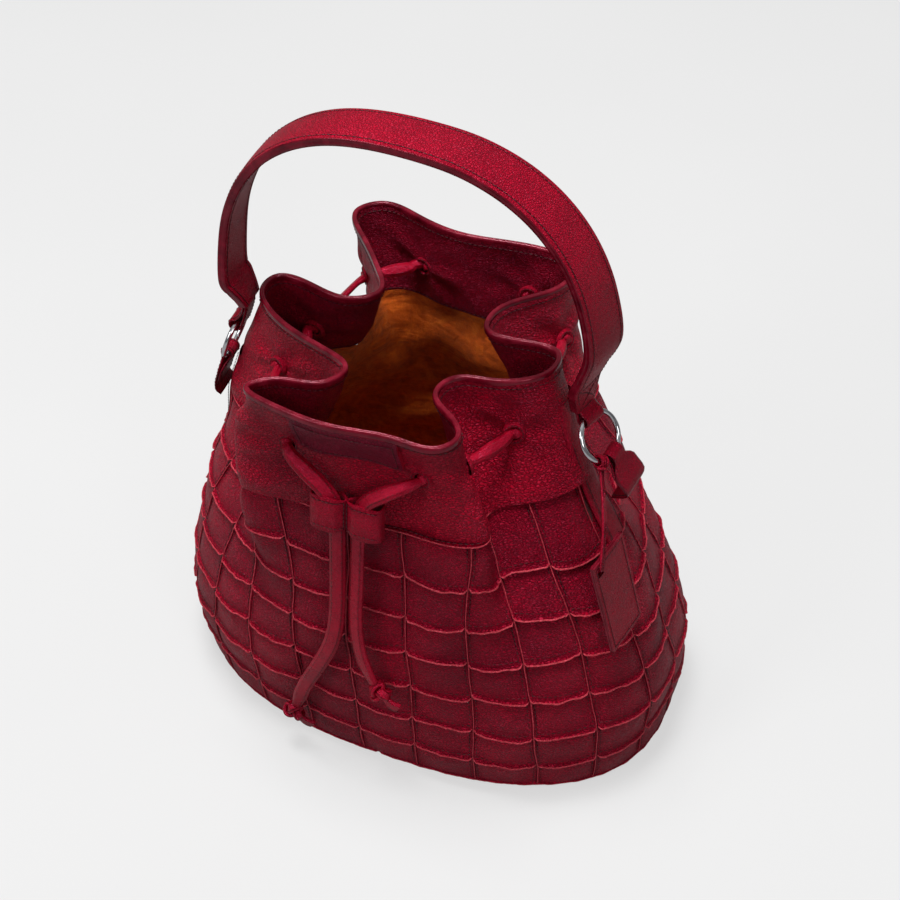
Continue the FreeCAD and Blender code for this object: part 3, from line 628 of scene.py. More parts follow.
def fin(build, u, z, height, lean, seed, width=1.0):
    """Raised seam: the two turned-out edges standing on the body along a line."""
    path = skin(u, z, body_lumps(u, z))
    n = outward(u, z)
    along = directions(path)
    across = np.cross(n, along)
    reach = np.arange(len(path)) * 1.0
    h = height * (1 + wander(reach, seed, 16, .10) + wander(reach, seed + 1, 5, .03))
    h = h * np.minimum(1, (np.minimum(reach, reach[-1] - reach) + 1.2) / 3)
    side = lean * h + wander(reach, seed + 2, 22, .16)
    rows = []
    half = ((1.9, -.5), (1.05, .35), (.8, .8), (.35, 1.0))
    for a, k in [(-a, k) for a, k in half] + list(half[::-1]):
        rows.append(path + across * (a * width + side * max(k, 0))[:, None]
                    + n * (h * k if k > 0 else h * 0 - .6)[:, None])
    points = np.stack(rows, axis=1)
    for part, kind in ((slice(0, 3), 0), (slice(2, 6), 1), (slice(5, 8), 0)):
        build.grid(points[:, part], kind)
    return path, n, across


def build_seams():
    build = Build()
    stitches = Build()
    for j in range(COLUMNS):
        z = np.arange(BASE + .5, SEAM + 12, 1.0)
        u = upright(j, z)
        z = z[z < seam_top(u) - .5]
        u = upright(j, z)
        lean = np.random.default_rng(j).uniform(-.5, .5)
        path, n, across = fin(build, u, z, 1.3, lean, 300 + 7 * j, .42)
        for side in (-1, 1):
            thread(stitches, path + across * side * 2.3, n, *SEAM_STITCH, .5)
        for i in range(1, ROWS):
            s = np.linspace(0.015, .985, 38)
            uu, zz = tile_points(i, j, s, np.zeros(38))
            path, n, across = fin(build, uu, zz, 2.7, -.75, 3000 + i * 97 + j * 7, .5)
            thread(stitches, path + across * 2.6, n, *SEAM_STITCH, .9)
    u = np.linspace(0, 1, 860)
    path, n, across = fin(build, u, seam_top(u) - .3, 1.7, .5, 77, .65)
    thread(stitches, path + across * 2.6, n, 3.4, 2.2, .32, .4)
    fin(build, u, np.full(860, BASE + 1.6), 2.0, -.3, 78, .8)
    return build, stitches


build_patchwork().object("patchwork_skin", "bag", [tile_leather, painted_shade_leather],
                         [f"patchwork_row_{i + 1}" for i in range(ROWS)])
ridges, ridge_stitches = build_seams()
ridges.object("raised_seams", "bag", [tile_leather, raw_edge_and_highlight])
stitched(ridge_stitches, "seam_stitching")


# ---- collar, facing, rim ------------------------------------------------------------------
BINDING = 283.0
HOLE = 4.9  # radius of a lace hole
EYELET_PLACES = [skin(np.array(share), np.array(EYELET_Z)) for share in EYELETS]
EYELET_OUT = [outward(np.array(share), np.array(EYELET_Z)) for share in EYELETS]


def open_eyelets(points):
    """True for points that aren't inside a lace hole."""
    keep = np.ones(points.shape[:-1], bool)
    for place, out in zip(EYELET_PLACES, EYELET_OUT):
        gap = points - place
        deep = gap @ out
        beside = np.linalg.norm(gap - deep[..., None] * out, axis=-1)
        keep &= (beside > HOLE) | (np.abs(deep) > 14)
    return keep


def collar_relief(u, z):
    """Folds of the gathered collar: soft lumps, and creases that fan out from each eyelet."""
    rise = lumps(u, z, 11, 60, 1.1) + lumps(u, z, 12, 24, .4)
    rise = rise + 1.6 * np.exp(-((z - SEAM - 9) / 9) ** 2) * (1 + lumps(u, z, 13, 50, .4))
    for k, share in enumerate(EYELETS):
        du = ((u - share + .5) % 1 - .5) * 700
        dz = z - EYELET_Z
        far = np.hypot(du, dz)
        turn = np.arctan2(dz, du)
        rise = rise + 1.0 * np.exp(-((far - 15) / 8) ** 2) * np.cos(5 * turn + k)
        rise = rise - 1.5 * np.exp(-(far / 9) ** 2)
    return rise * np.clip((BINDING - z) / 14, 0, 1)


def facing_face(u, z):
    """Points on the inner face of the collar's two plies, which follow the same folds."""
    return skin(u, z, collar_relief(u, z) * .8 - 3.0)


u_ring = np.linspace(0, 1, 1100, endpoint=False)[None, :]
rows = np.linspace(0, 1, 96)[:, None]
heights = seam_top(u_ring) * (1 - rows) + BINDING * rows
outer = skin(u_ring, heights, collar_relief(u_ring, heights))
collar = Build()
collar.grid(outer, wrap_columns=True, keep=open_eyelets(outer))
collar.object("collar_skin", "bag", [collar_leather], ["collar"])

FACING_LOW = 224.0
rows = np.linspace(0, 1, 70)[:, None]
heights = FACING_LOW * (1 - rows) + BINDING * rows + 0 * u_ring
inner = facing_face(u_ring, heights)
facing = Build()
facing.grid(inner, wrap_columns=True, flip=True, keep=open_eyelets(inner))
facing.object("collar_facing_skin", "bag", [facing_leather], ["collar_facing"])

rim = Build()
u = u_ring[0]
path = smooth(u, RIM - 1.6)
out = outward(u, RIM - 1.6)
out[:, 2] = 0
out = unit(out)
section = [(.2, -2.6), (.3, -.4), (.1, .8), (-.5, 1.3), (-1.2, 1.35), (-1.4, 1.1), (-1.6, 1.35),
           (-2.3, 1.3), (-2.9, .8), (-3.15, -.4), (-3.05, -2.6)]
rings = np.stack([path + out * a + np.array([0, 0, 1.0]) * b for a, b in section], axis=1)
rim.grid(rings, wrap_rows=True)
rim.object("rim_edge", "bag", [edge], ["rim_binding"])

rim_stitches = Build()
closed_u = np.linspace(0, 1, 1101)
for proud, way in ((.1, 1), (-3.1, -1)):
    line = skin(closed_u, RIM - 6.2, proud)
    thread(rim_stitches, line, outward(closed_u, RIM - 6.2) * way, *RIM_STITCH, .15)
stitched(rim_stitches, "rim_stitching")

HEM = 227.0
hem = facing_face(closed_u, HEM)
hem_stitches = Build()
thread(hem_stitches, hem, -outward(closed_u, HEM), *RIM_STITCH, .15)
stitched(hem_stitches, "facing_stitching")

PATCH_HALF = .036
PATCH_LOW, PATCH_HIGH = 257.0, 281.5
PATCH_LIFT = 2.6


def patch_face(u, z, lift=PATCH_LIFT):
    """Points on the rim patch, which lies over the collar's folds and tucks in under the rim."""
    return skin(u, z, lift * np.clip((283.5 - z) / 7, .15, 1) + collar_relief(u, z) * .85)


def patch_frame(half, low, high):
    """Shares and heights round a rectangle on the collar, from its lower left corner."""
    u = np.concatenate([np.linspace(-half, half, 60), np.full(24, half),
                        np.linspace(half, -half, 60), np.full(24, -half)])
    z = np.concatenate([np.full(60, low), np.linspace(low, high, 24),
                        np.full(60, high), np.linspace(high, low, 24)])
    return u, z


patch = Build()
patch_stitches = Build()
s = np.linspace(-PATCH_HALF, PATCH_HALF, 60)[None, :]
z = np.linspace(PATCH_LOW, PATCH_HIGH, 24)[:, None]
patch.grid(patch_face(s, z))
border = patch_frame(PATCH_HALF, PATCH_LOW, PATCH_HIGH)
# the raised border takes the lighter lace leather as a painted highlight along the patch's edge
patch.grid(np.stack([patch_face(*border, lift) for lift in (-.6, 1.9, PATCH_LIFT)]), 1, flip=True)
patch.object("rim_patch_leather", "bag", [patch_leather, lace_leather], ["rim_patch"])
border = patch_frame(.033, 259.0, 278.0)
thread(patch_stitches, patch_face(*border), outward(*border), *FINE_STITCH, .1)
stitched(patch_stitches, "rim_patch_stitching")


# ---- eyelets ------------------------------------------------------------------------------
def circle(centre, normal, radius, sides=40):
    side = unit(np.cross(normal, [0.0, 0.0, 1.0]))
    up = np.cross(side, normal)
    a = np.arange(sides) * 2 * np.pi / sides
    return centre + radius * (np.cos(a)[:, None] * side + np.sin(a)[:, None] * up)


eyelets = Build()
eyelet_stitches = Build()
for place, out in zip(EYELET_PLACES, EYELET_OUT):
    for base, way in ((-.9, 1), (-3.6, -1)):
        normal = out * way
        centre = place + out * base
        shape = ((3.9, -2.2), (3.9, .2), (4.1, 1.2), (4.8, 1.7),
                 (5.7, 1.8), (6.4, 1.4), (6.9, .4), (7.0, -.6))
        rings = np.stack([circle(centre + normal * k, normal, r) for r, k in shape])
        # the hole's inner wall is darkened with painted shade
        eyelets.grid(rings[:3], 1, wrap_columns=True)
        eyelets.grid(rings[2:], wrap_columns=True)
        ring_path = circle(centre + normal * 1.7, normal, 5.5, 41)
        thread(eyelet_stitches, np.vstack([ring_path, ring_path[:2]]), normal, 2.2, 1.5, .28, .1)
eyelets.object("eyelet_leather_rings", "bag", [strap_leather, painted_shade_leather], ["eyelet_rings"])
stitched(eyelet_stitches, "eyelet_stitching")

# ---- suede inside -------------------------------------------------------------------------
inside = Build()
rows = np.linspace(0, 1, 110)[:, None]
heights = 6.0 * (1 - rows) + 226.0 * rows + 0 * u_ring
sag = lumps(u_ring, heights, 21, 90, 2.2) + lumps(u_ring, heights, 22, 36, 1.3)
# slack rings round the wall, sharper at their crests
roll = .5 + .5 * np.sin(heights / 9 + 2.6 * np.sin(u_ring * 12.566) + 1.3 * np.sin(u_ring * 31.4))
sag = sag - 3.2 * roll ** 3 * np.exp(-((heights - 110) / 65) ** 2)
sag = np.clip(sag, -6, 2.0) * np.clip((212 - heights) / 20, 0, 1)
depth = -3.4 - 3.4 * (1 - ease(heights, 195, 222))
depth = depth + collar_relief(u_ring, heights) * .8 * ease(heights, 204, 222)
inside.grid(skin(u_ring, heights, depth + sag), wrap_columns=True, flip=True)
ring0 = skin(u_ring[0], 6.0, -6.8)
middle = np.array([0, 0, 6.2])
floor_rows = [middle + (ring0 - middle) * k for k in np.linspace(1, .02, 40)]
floor_grid = np.stack(floor_rows)
floor_grid[..., 2] = 6.2 + .8 * np.sin(floor_grid[..., 0] / 23) * np.cos(floor_grid[..., 1] / 19)
inside.grid(floor_grid, wrap_columns=True)
inside.object("suede_inside", "bag", [lining], ["suede_lining", "lining_floor"])


# ---- laces --------------------------------------------------------------------------------
def spline(points):
    """NURBS curve object data through control points in metres."""
    data = bpy.data.curves.new("route", "CURVE")
    data.dimensions = "3D"
    line = data.splines.new("NURBS")
    line.points.add(len(points) - 1)
    for point, place in zip(line.points, points):
        point.co = (*place, 1)
    line.order_u = 3
    line.use_endpoint_u = True
    line.resolution_u = 14
    return data


def route(points):
    """Points of the NURBS line with those control points, in millimetres."""
    data = spline(np.asarray(points) * MM)
    holder = bpy.data.objects.new("route", data)
    bpy.context.scene.collection.objects.link(holder)
    mesh = bpy.data.meshes.new_from_object(holder)
    places = np.array([v.co for v in mesh.vertices]) / MM
    bpy.data.objects.remove(holder)
    bpy.data.curves.remove(data)
    bpy.data.meshes.remove(mesh)
    return places


TAIL_LEFT = [
    (-60.5, -88.5, 249.5), (-55, -97.5, 250.5), (-43, -101, 244.5), (-29.5, -102.3, 234.5),
    (-22.3, -102.4, 222.5), (-21.6, -105.6, 197), (-20.6, -110.3, 170), (-19.6, -115.4, 143),
    (-22.5, -118.6, 119), (-32, -120, 95), (-43.5, -119.8, 70), (-50.5, -118.8, 49),
    (-53, -118.3, 41),
]
TAIL_RIGHT = [
    (26, -87.5, 249), (20, -97, 250.3), (8, -101, 243.5), (-3.5, -102.4, 234),
    (-8.8, -102.4, 221.5), (-8.6, -105.6, 197), (-8.2, -110.3, 170), (-7.9, -115.3, 144),
    (-5.5, -118.3, 122), (-0.5, -119.6, 104), (5, -119.8, 93),
]
KNOTS = {"left": ((-55, -118, 34), (.75, .1, -.55)), "right": ((8.5, -119.6, 86), (.8, 0, -.5))}


def lace(build, stitches, path, normal, width, thick):
    """Folded flat lace with a row of stitches along each edge."""
    shape = unit_pill(.36, .12)
    build.sweep(flat_rings(path, normal, shape, width, thick))
    across, out = axes(path, normal)
    for side in (-1, 1):
        line = path + across * (side * (width - 2.1))[:, None] + out * (thick * 1.04)[:, None]
        thread(stitches, line, out, *LACE_STITCH, .05)


lace_stitches = Build()
for side, points in (("left", TAIL_LEFT), ("right", TAIL_RIGHT)):
    path = route(points)
    reach = distances(path)
    hang = np.clip((reach - 40) / 30, 0, 1)[:, None]
    first = np.array([0.0, -.55, .83])
    second = np.array([.12 if side == "left" else -.25, -1.0, .1])
    normal = unit(first * (1 - hang) + second * hang)
    end = reach[-1]
    width = np.interp(reach, [0, 8, 25, 60, end - 14, end], [2.2, 3.8, 5.2, 5.3, 5.0, 3.2])
    thick = np.interp(reach, [0, 8, 25, 60, end], [1.7, 1.7, 1.5, 1.35, 1.6])
    tail = Build()
    lace(tail, lace_stitches, path, normal, width, thick)
    piece = tail.object(f"lace_tail_{side}_leather", "bag", [lace_leather], [f"lace_tail_{side}"])
    centre, toward = (np.array(v, float) for v in KNOTS[side])
    toward = unit(toward)
    down = directions(path)[-1]
    side_way = unit(np.cross(down, [0.0, -1.0, 0.0]))
    front = np.cross(side_way, down)
    t = np.linspace(0, 2 * np.pi, 90, endpoint=False)
    knot_path = centre + 2.15 * (
        (np.sin(t) + 2 * np.sin(2 * t))[:, None] * side_way
        + (np.cos(t) - 2 * np.cos(2 * t))[:, None] * down * .95
        - 1.25 * np.sin(3 * t)[:, None] * front)
    knot = Build()
    spin = unit(knot_path - centre)
    knot.sweep(flat_rings(knot_path, spin, pill(3.4, 1.3), closed=True), closed=True)
    s = np.linspace(0, 1, 16)[:, None]
    end_path = centre + toward * (2 + 13.5 * s) + np.array([0, -1.0, -.4]) * 2.0 * np.sin(s * 2.6)
    wide = np.interp(s[:, 0], [0, .3, .8, 1], [2.2, 3.0, 4.2, 4.4])
    knot.sweep(flat_rings(end_path, front, unit_pill(.36), wide, 1.35))
    knot_piece = knot.object(f"lace_knot_{side}_leather", "bag", [lace_leather],
                             [f"lace_knot_{side}"])

threaded = Build()
for k in range(11):
    a, b = EYELETS[k], EYELETS[k + 1]
    outside = k % 2 == 1
    t = np.linspace(0, 1, 40)
    share = a + (b - a) * t
    face = skin(share, EYELET_Z)
    n = outward(share, EYELET_Z)
    chord = EYELET_PLACES[k] + (EYELET_PLACES[k + 1] - EYELET_PLACES[k]) * t[:, None]
    gap = ((chord - face) * n).sum(axis=1)
    if outside:
        path = np.where((gap > 3.0)[:, None], chord + n * 1.0, face + n * 3.4)
        ends = (-4.5, 1.8)
    else:
        path = np.where((gap < -6.8)[:, None], chord - n * 1.0, face - n * 7.0)
        ends = (1.5, -5.5)
    first = np.stack([EYELET_PLACES[k] + EYELET_OUT[k] * d for d in ends])
    last = np.stack([EYELET_PLACES[k + 1] + EYELET_OUT[k + 1] * d for d in ends[::-1]])
    path = np.vstack([first, path[4:-4], last])
    for _ in range(12):
        path[1:-1] = path[1:-1] * .5 + (path[:-2] + path[2:]) * .25
    way = unit(np.vstack([n[:2], n[4:-4], n[-2:]])) * (1 if outside else -1)
    flat = way * np.array([1, 1, .2]) + np.array([0, 0, .9])
    width = np.interp(np.linspace(0, 1, len(path)), [0, .12, .5, .88, 1], [2.9, 3.5, 4.5, 3.5, 2.9])
    thick = np.interp(np.linspace(0, 1, len(path)), [0, .12, .88, 1], [2.5, 1.5, 1.5, 2.5])
    lace(threaded, lace_stitches, path, unit(flat), width, thick)
threaded.object("drawstring_leather", "bag", [lace_leather], ["drawstring"])
stitched(lace_stitches, "lace_stitching")

# ---- slider -------------------------------------------------------------------------------
CENTRE = np.array([-15.7, -102.5, 218.9])
DOWN = unit(np.array([.03, -.18, -.983]))
WIDE = unit(np.cross([0.0, -1.0, 0.0], DOWN))
DEEP_WAY = np.cross(DOWN, WIDE)
LOOP_HALF, LOOP_DEEP = 11.6, 5.6  # half width and half depth of each of its two loops
slider = Build()
slider_stitches = Build()
for sign in (-1, 1):
    a = np.linspace(0, 2 * np.pi, 72, endpoint=False)
    x = LOOP_HALF * np.sign(np.cos(a)) * np.abs(np.cos(a)) ** .72
    y = LOOP_DEEP * np.sign(np.sin(a)) * np.abs(np.sin(a)) ** .62
    pinch = np.clip((-x * sign - 6) / 6, 0, 1)
    y = y * (1 - .55 * pinch)
    place = CENTRE + WIDE * (sign * LOOP_HALF) + x[:, None] * WIDE + y[:, None] * DEEP_WAY
    normal = unit(np.cross(directions(place, closed=True), DOWN))
    flip = np.sign(((place - CENTRE - WIDE * sign * LOOP_HALF) * normal).sum(axis=1))[:, None]
    normal = normal * flip
    swell = (y > 0) * (1 - (x / LOOP_HALF) ** 2)
    top = -11.2 + .8 * pinch + .5 * np.sin(a * 3)
    low = 11.0 - 1.6 * pinch + 1.2 * swell
    rings = []
    for thick, share in ((0, 0), (0, .03), (0, .3), (0, .6), (0, .97), (0, 1), (-.5, 1.02),
                         (-1.0, 1.02), (-1.5, 1), (-1.5, .97), (-1.5, .5), (-1.5, .03), (-1.5, 0),
                         (-1.0, -.02), (-.5, -.02)):
        bulge = .7 * math.sin(math.pi * min(max(share, 0), 1)) * swell
        along = (top + (low - top) * share)[:, None]
        rings.append(place + normal * (thick + bulge)[:, None] + DOWN * along)
    slider.grid(np.stack(rings), wrap_rows=True, wrap_columns=True)
for x in (-.9, .9):
    line = np.stack([CENTRE + WIDE * x + DOWN * k + DEEP_WAY * 2.9
                     for k in np.linspace(-10, 9.5, 30)])
    thread(slider_stitches, line, DEEP_WAY, 3.0, 2.1, .34, .1)
for sign in (-1, 1):
    for k in (-9.0, 8.8):
        x = np.linspace(1.6, 21, 30)
        share = np.abs((x - LOOP_HALF) / LOOP_HALF)
        waist = 1 - .55 * np.clip((5.6 - x) / 6, 0, 1)
        y = LOOP_DEEP * (1 - share ** (2 / .72)) ** (.62 / 2) * waist
        bulge = .7 * (1 - share ** 2) * (.3 if k < 0 else .2)
        line = CENTRE + (sign * x)[:, None] * WIDE + (y + bulge)[:, None] * DEEP_WAY + k * DOWN
        thread(slider_stitches, line, DEEP_WAY, 2.8, 2.0, .32, .25)
slider.object("slider_leather", "slider", [strap_leather], ["lace_slider"])
stitched(slider_stitches, "slider_stitching", "slider")


# ---- rings, loops, tabs -------------------------------------------------------------------
class Side:
    """Place of one ring: out of the bag's side, back along it, and down the slope."""

    def __init__(self, sign, yaw, slope):
        yaw, slope = math.radians(yaw), math.radians(slope)
        self.slope = slope
        self.centre = np.array([-16.48 + sign * 121.0, -7.5, 243.0])
        self.out = np.array([sign * math.cos(yaw), -math.sin(yaw), 0])
        self.back = np.array([sign * math.sin(yaw), math.cos(yaw), 0])
        self.up = np.array([0, 0, 1.0])
        self.down = self.out * math.sin(slope) - self.up * math.cos(slope)
        self.normal = self.out * math.cos(slope) + self.up * math.sin(slope)

    def turned(self, degrees):
        """The same place turned about the ring's axis, towards the back."""
        other = copy.copy(self)
        spin = np.array(Matrix.Rotation(math.radians(degrees), 3, Vector(self.normal)))
        for name in ("out", "up", "back", "down"):
            setattr(other, name, spin @ getattr(self, name))
        return other

    def points(self, pairs):
        """Points at (out, up) pairs from the ring's middle."""
        pairs = np.asarray(pairs, float)
        return self.centre + pairs[:, :1] * self.out + pairs[:, 1:] * self.up


SIDES = {"right": Side(1, 18.0, 34.0), "left": Side(-1, 4.0, 18.0)}
MAJOR, WIRE, PLY = 15.1, 1.6, 1.4


def soften(points, rounds=2):
    """An open path with its corners rounded by cutting them."""
    points = np.asarray(points, float)
    for _ in range(rounds):
        a, b = points[:-1], points[1:]
        cut = np.stack([a * .75 + b * .25, a * .25 + b * .75], axis=1).reshape(-1, points.shape[1])
        points = np.vstack([points[:1], cut[1:-1], points[-1:]])
    return points


def arc(centre, radius, start, stop):
    a = np.radians(np.linspace(start, stop, 16))
    return np.stack([centre[0] + radius * np.cos(a), centre[1] + radius * np.sin(a)], axis=1)


def band(build, stitches, side, path, widths, face):
    """Leather band that follows a path of (out, up) pairs, stitched on its outer or inner face."""
    thick = PLY
    path = np.asarray(path, float)
    places = side.points(path)
    along = directions(places)
    normal = np.cross(along, side.back)
    outline = unit_pill(.3)
    widths = np.broadcast_to(widths, len(path)) / 2
    rings = flat_rings(places, normal, outline, widths, thick / 2)
    sides = len(outline)
    kinds = [1 if abs(outline[j][0]) > .97 or abs(outline[(j + 1) % sides][0]) > .97 else 0
             for j in range(sides)]
    build.sweep(rings, kinds=kinds)
    for edge_side in (-1, 1):
        line = (places + side.back * (edge_side * (widths - 2.0))[:, None]
                + normal * face * (thick / 2 + .02))
        thread(stitches, line, normal * face, *FINE_STITCH, .08)


for name, side in SIDES.items():
    stitches = Build()
    ring = Build()
    a = np.linspace(0, 2 * np.pi, 120, endpoint=False)
    path = side.centre + MAJOR * (np.cos(a)[:, None] * side.back + np.sin(a)[:, None] * side.down)
    b = np.linspace(0, 2 * np.pi, 24, endpoint=False)
    wire = WIRE * np.stack([np.cos(b), np.sin(b)], axis=1)
    ring.sweep(flat_rings(path, side.normal, wire, closed=True), closed=True)
    ring.object(f"o_ring_{name}_chrome", f"ring_{name}", [metal], [f"o_ring_{name}"])

    around = (-14 * math.sin(side.slope), 14 * math.cos(side.slope))
    down_ply, up_ply = {
        "right": ([(-12.75, 33), (-12.1, 19)], [(-14.3, 19), (-14.25, 33)]),
        "left": ([(-10.5, 36), (-11.6, 29), (-9.3, 22)], [(-11.1, 21), (-13.2, 29), (-12.0, 36)]),
    }[name]
    loop_path = down_ply + list(arc(around, 3.85, 95, -170)) + up_ply
    loop = Build()
    loop_stitches = Build()
    band(loop, loop_stitches, side, soften(loop_path, 1), 16.0, -1)
    bend = {"right": (258.5, 265.0), "left": (261.0, 273.0)}[name]
    loop.object(f"handle_loop_{name}_leather", "handle", [strap_leather, edge],
                [f"handle_loop_{name}"], bend)
    stitched(loop_stitches, f"handle_loop_{name}_stitching", "handle", bend)

    foot = (14.5 * math.sin(side.slope), -14.5 * math.cos(side.slope))
    down = np.array([math.sin(side.slope), -math.cos(side.slope)])
    outer_way = np.array([math.cos(side.slope), math.sin(side.slope)])
    anchor = {"right": (10.6, -43.5), "left": (9.0, -44.5)}[name]
    slope = math.degrees(side.slope)
    tab_path = soften([anchor, down * 43.5 + outer_way * .75, down * 23.1 + outer_way * .75,
                       *arc(foot, 3.85, slope - 35, slope + 215),
                       down * 23.1 - outer_way * .75, down * 39.5 - outer_way * .75], 2)
    below = tab_path @ down
    tab_width = np.interp(below, [19, 25], [11.5, 23])
    tab = Build()
    tab_side = side.turned(16.0 if name == "right" else 0.0)
    band(tab, stitches, tab_side, tab_path, tab_width, 1)
    tab.object(f"ring_tab_{name}_leather", "bag", [strap_leather, edge], [f"ring_tab_{name}"])
    stitched(stitches, f"ring_tab_{name}_stitching")

    strip = Build()
    strip_stitches = Build()
    z = np.linspace(172, 262 if name == "right" else 232, 60)
    search = np.linspace(0, 1, 720, endpoint=False)
    sign = 1 if name == "right" else -1
    shares = np.array([search[np.argmax(sign * smooth(search, np.full(720, h))[:, 0])] for h in z])
    shares = np.convolve(np.pad(shares, 4, mode="edge"), np.ones(9) / 9, mode="valid")
    across = np.linspace(-1, 1, 15)
    uu = shares[:, None] + .0125 * across[None, :]
    proud = 2.1 - .5 * across[None, :] ** 8 + body_lumps(uu, z[:, None]) * .4
    edge_rows = np.concatenate([proud[:, :1] * 0 - .5, proud, proud[:, -1:] * 0 - .5], axis=1)
    uu = np.concatenate([uu[:, :1], uu, uu[:, -1:]], axis=1)
    strip.grid(skin(uu, z[:, None], edge_rows))
    for k in (-.72, .72):
        thread(strip_stitches, skin(shares + .0125 * k, z, 2.1), outward(shares, z),
               *FINE_STITCH, .1)
    strip.object(f"side_strip_{name}_leather", "bag", [strap_leather], [f"side_strip_{name}"])
    stitched(strip_stitches, f"side_strip_{name}_stitching")


# ---- handle -------------------------------------------------------------------------------
def strap_stations():
    """Rows of x, y, z, turn and width, from the right foot over the top to the left foot."""
    feet = {
        "right": [(-13.4, 17.5, 19), (-13.6, 26.0, 24), (-12.9, 35.0, 28.5), (-8.6, 47.0, 30)],
        "left": [(-3.4, 54.0, 30), (-6.8, 44.5, 27.5), (-10.2, 37.5, 23), (-12.6, 31.0, 19)],
    }
    ends = [[(*SIDES[side].points([(out, up)])[0], turn, width) for out, up, width in feet[side]]
            for side, turn in (("right", -12.0), ("left", -3.0))]
    arch = []
    for degrees in range(8, 173, 12):
        a = math.radians(degrees)
        c, s = math.cos(a), math.sin(a)
        arch.append((-16.8 + 119.8 * math.copysign(abs(c) ** (2 / 2.4), c), -4 - 2 * c,
                     285 + 131.9 * s ** (2 / 2.4), -7.2 - 7.5 * c - 3.6 * math.cos(2 * a), 30.0))
    return np.array(ends[0] + arch + ends[1])


def through(v):
    """Smooth rows between the rows of v, by Catmull-Rom."""
    padded = np.vstack([2 * v[0] - v[1], v, 2 * v[-1] - v[-2]])
    out = []
    for i in range(1, len(padded) - 2):
        p0, p1, p2, p3 = padded[i - 1:i + 3]
        for t in np.linspace(0, 1, 10, endpoint=False):
            out.append(.5 * (2 * p1 + (p2 - p0) * t + (2 * p0 - 5 * p1 + 4 * p2 - p3) * t**2
                             + (3 * p1 - p0 - 3 * p2 + p3) * t**3))
    out.append(v[-1])
    return np.array(out)


stations = through(strap_stations())
strap_path = stations[:, :3]
turn = np.radians(stations[:, 3])
wide = stations[:, 4] / 2
tangent = directions(strap_path)
flat = unit(np.array([0, 1.0, 0]) - tangent * tangent[:, 1:2])
across = flat * np.cos(turn)[:, None] + np.cross(tangent, flat) * np.sin(turn)[:, None]
outer_way = np.cross(across, tangent)
EDGE_INSET = 2.6  # from the strap's edge to its stitches


def on_strap(share, height):
    """Points at a share of the strap's half width from its middle, and a height off its middle."""
    return (strap_path[:, None] + across[:, None] * (wide[:, None] * share)[..., None]
            + outer_way[:, None] * height[None, :, None])


def crown(share):
    return .9 * (1 - np.abs(share) ** 2.4)


strap = Build()
inner_strap = Build()
strap_stitches = Build()
x = np.linspace(-1, 1, 25)
strap.grid(on_strap(x, 2.3 + crown(x)))
edge_shares = np.array([1.0, 1.02, 1.03, 1.005, 1.03, 1.03, 1.01, .985])
edge_heights = np.array([2.3, 2.0, 1.2, .35, -.6, -1.6, -2.5, -2.9])
for sign in (-1, 1):
    strap.grid(on_strap(sign * edge_shares, edge_heights), 1, flip=sign < 0)
    for face, height in ((1, 2.62), (-1, 3.0)):
        line = (strap_path + across * (sign * (wide - EDGE_INSET))[:, None]
                + outer_way * face * height)
        thread(strap_stitches, line, outer_way * face, *STRAP_STITCH, .05)
for end in (0, -1):
    corners = [strap_path[end] + across[end] * wide[end] * a + outer_way[end] * k
               for a, k in ((-1, -2.9), (1, -2.9), (1, 2.5), (-1, 2.5))]
    strap.add(corners, [(0, 1, 2, 3)], 1)
inner_strap.grid(on_strap(x, -2.9 - .15 * (1 - x**2)), flip=True)
strap.object("handle_strap_leather", "handle", [strap_leather, edge],
             ["handle_strap", "handle_padding"])
inner_strap.object("handle_lining_leather", "handle", [strap_leather], ["handle_lining"])
for way in (1, -1):
    p, ac, ou, wi = (v[::way] for v in (strap_path, across, outer_way, wide))
    # a box of stitches with a cross in it, between these two stations
    low, high = 2, 22
    lines = [(np.full(14, station), np.linspace(-1, 1, 14)) for station in (low, high)]
    for slant in (-1, 1):
        lines.append((np.arange(low, high + 1), slant * np.linspace(-1, 1, high + 1 - low)))
    for ks, s in lines:
        row = (p[ks] + ac[ks] * (s * (wi[ks] - EDGE_INSET))[:, None]
               + ou[ks] * (2.35 + crown(s))[:, None])
        thread(strap_stitches, row, ou[ks], 3.0, 2.2, .36, .1)
stitched(strap_stitches, "handle_stitching", "handle")

# ---- tag, lanyard, hitch ------------------------------------------------------------------
right = SIDES["right"]
angle = math.radians(30.0)
radial = right.down * math.cos(angle) - right.back * math.sin(angle)
HITCH = right.centre + radial * MAJOR
along_ring = np.cross(right.normal, radial)
TAG_NORMAL = unit(np.array([.953, -.144, .267]))
TAG_LEVEL = unit(np.array([.144, .953, 0.0]))
TAG_DOWN = np.cross(TAG_LEVEL, TAG_NORMAL)
TAG_CENTRE = np.array([134.5, -48.0, 160.0])
TAG_HOLE = TAG_CENTRE - TAG_LEVEL * 12 - TAG_DOWN * 27
TAG_HALF = np.array([18.0, 33.0])


def tag_place(s, t, out, swell=1.0):
    """Points s along the slightly warped tag, t down it and out of its plane."""
    warp = .7 * np.sin(t / 21) + .5 * np.sin(s / 9 + 1)
    return (TAG_CENTRE + (s * swell)[..., None] * TAG_LEVEL + (t * swell)[..., None] * TAG_DOWN
            + (out + warp * .5)[..., None] * TAG_NORMAL)


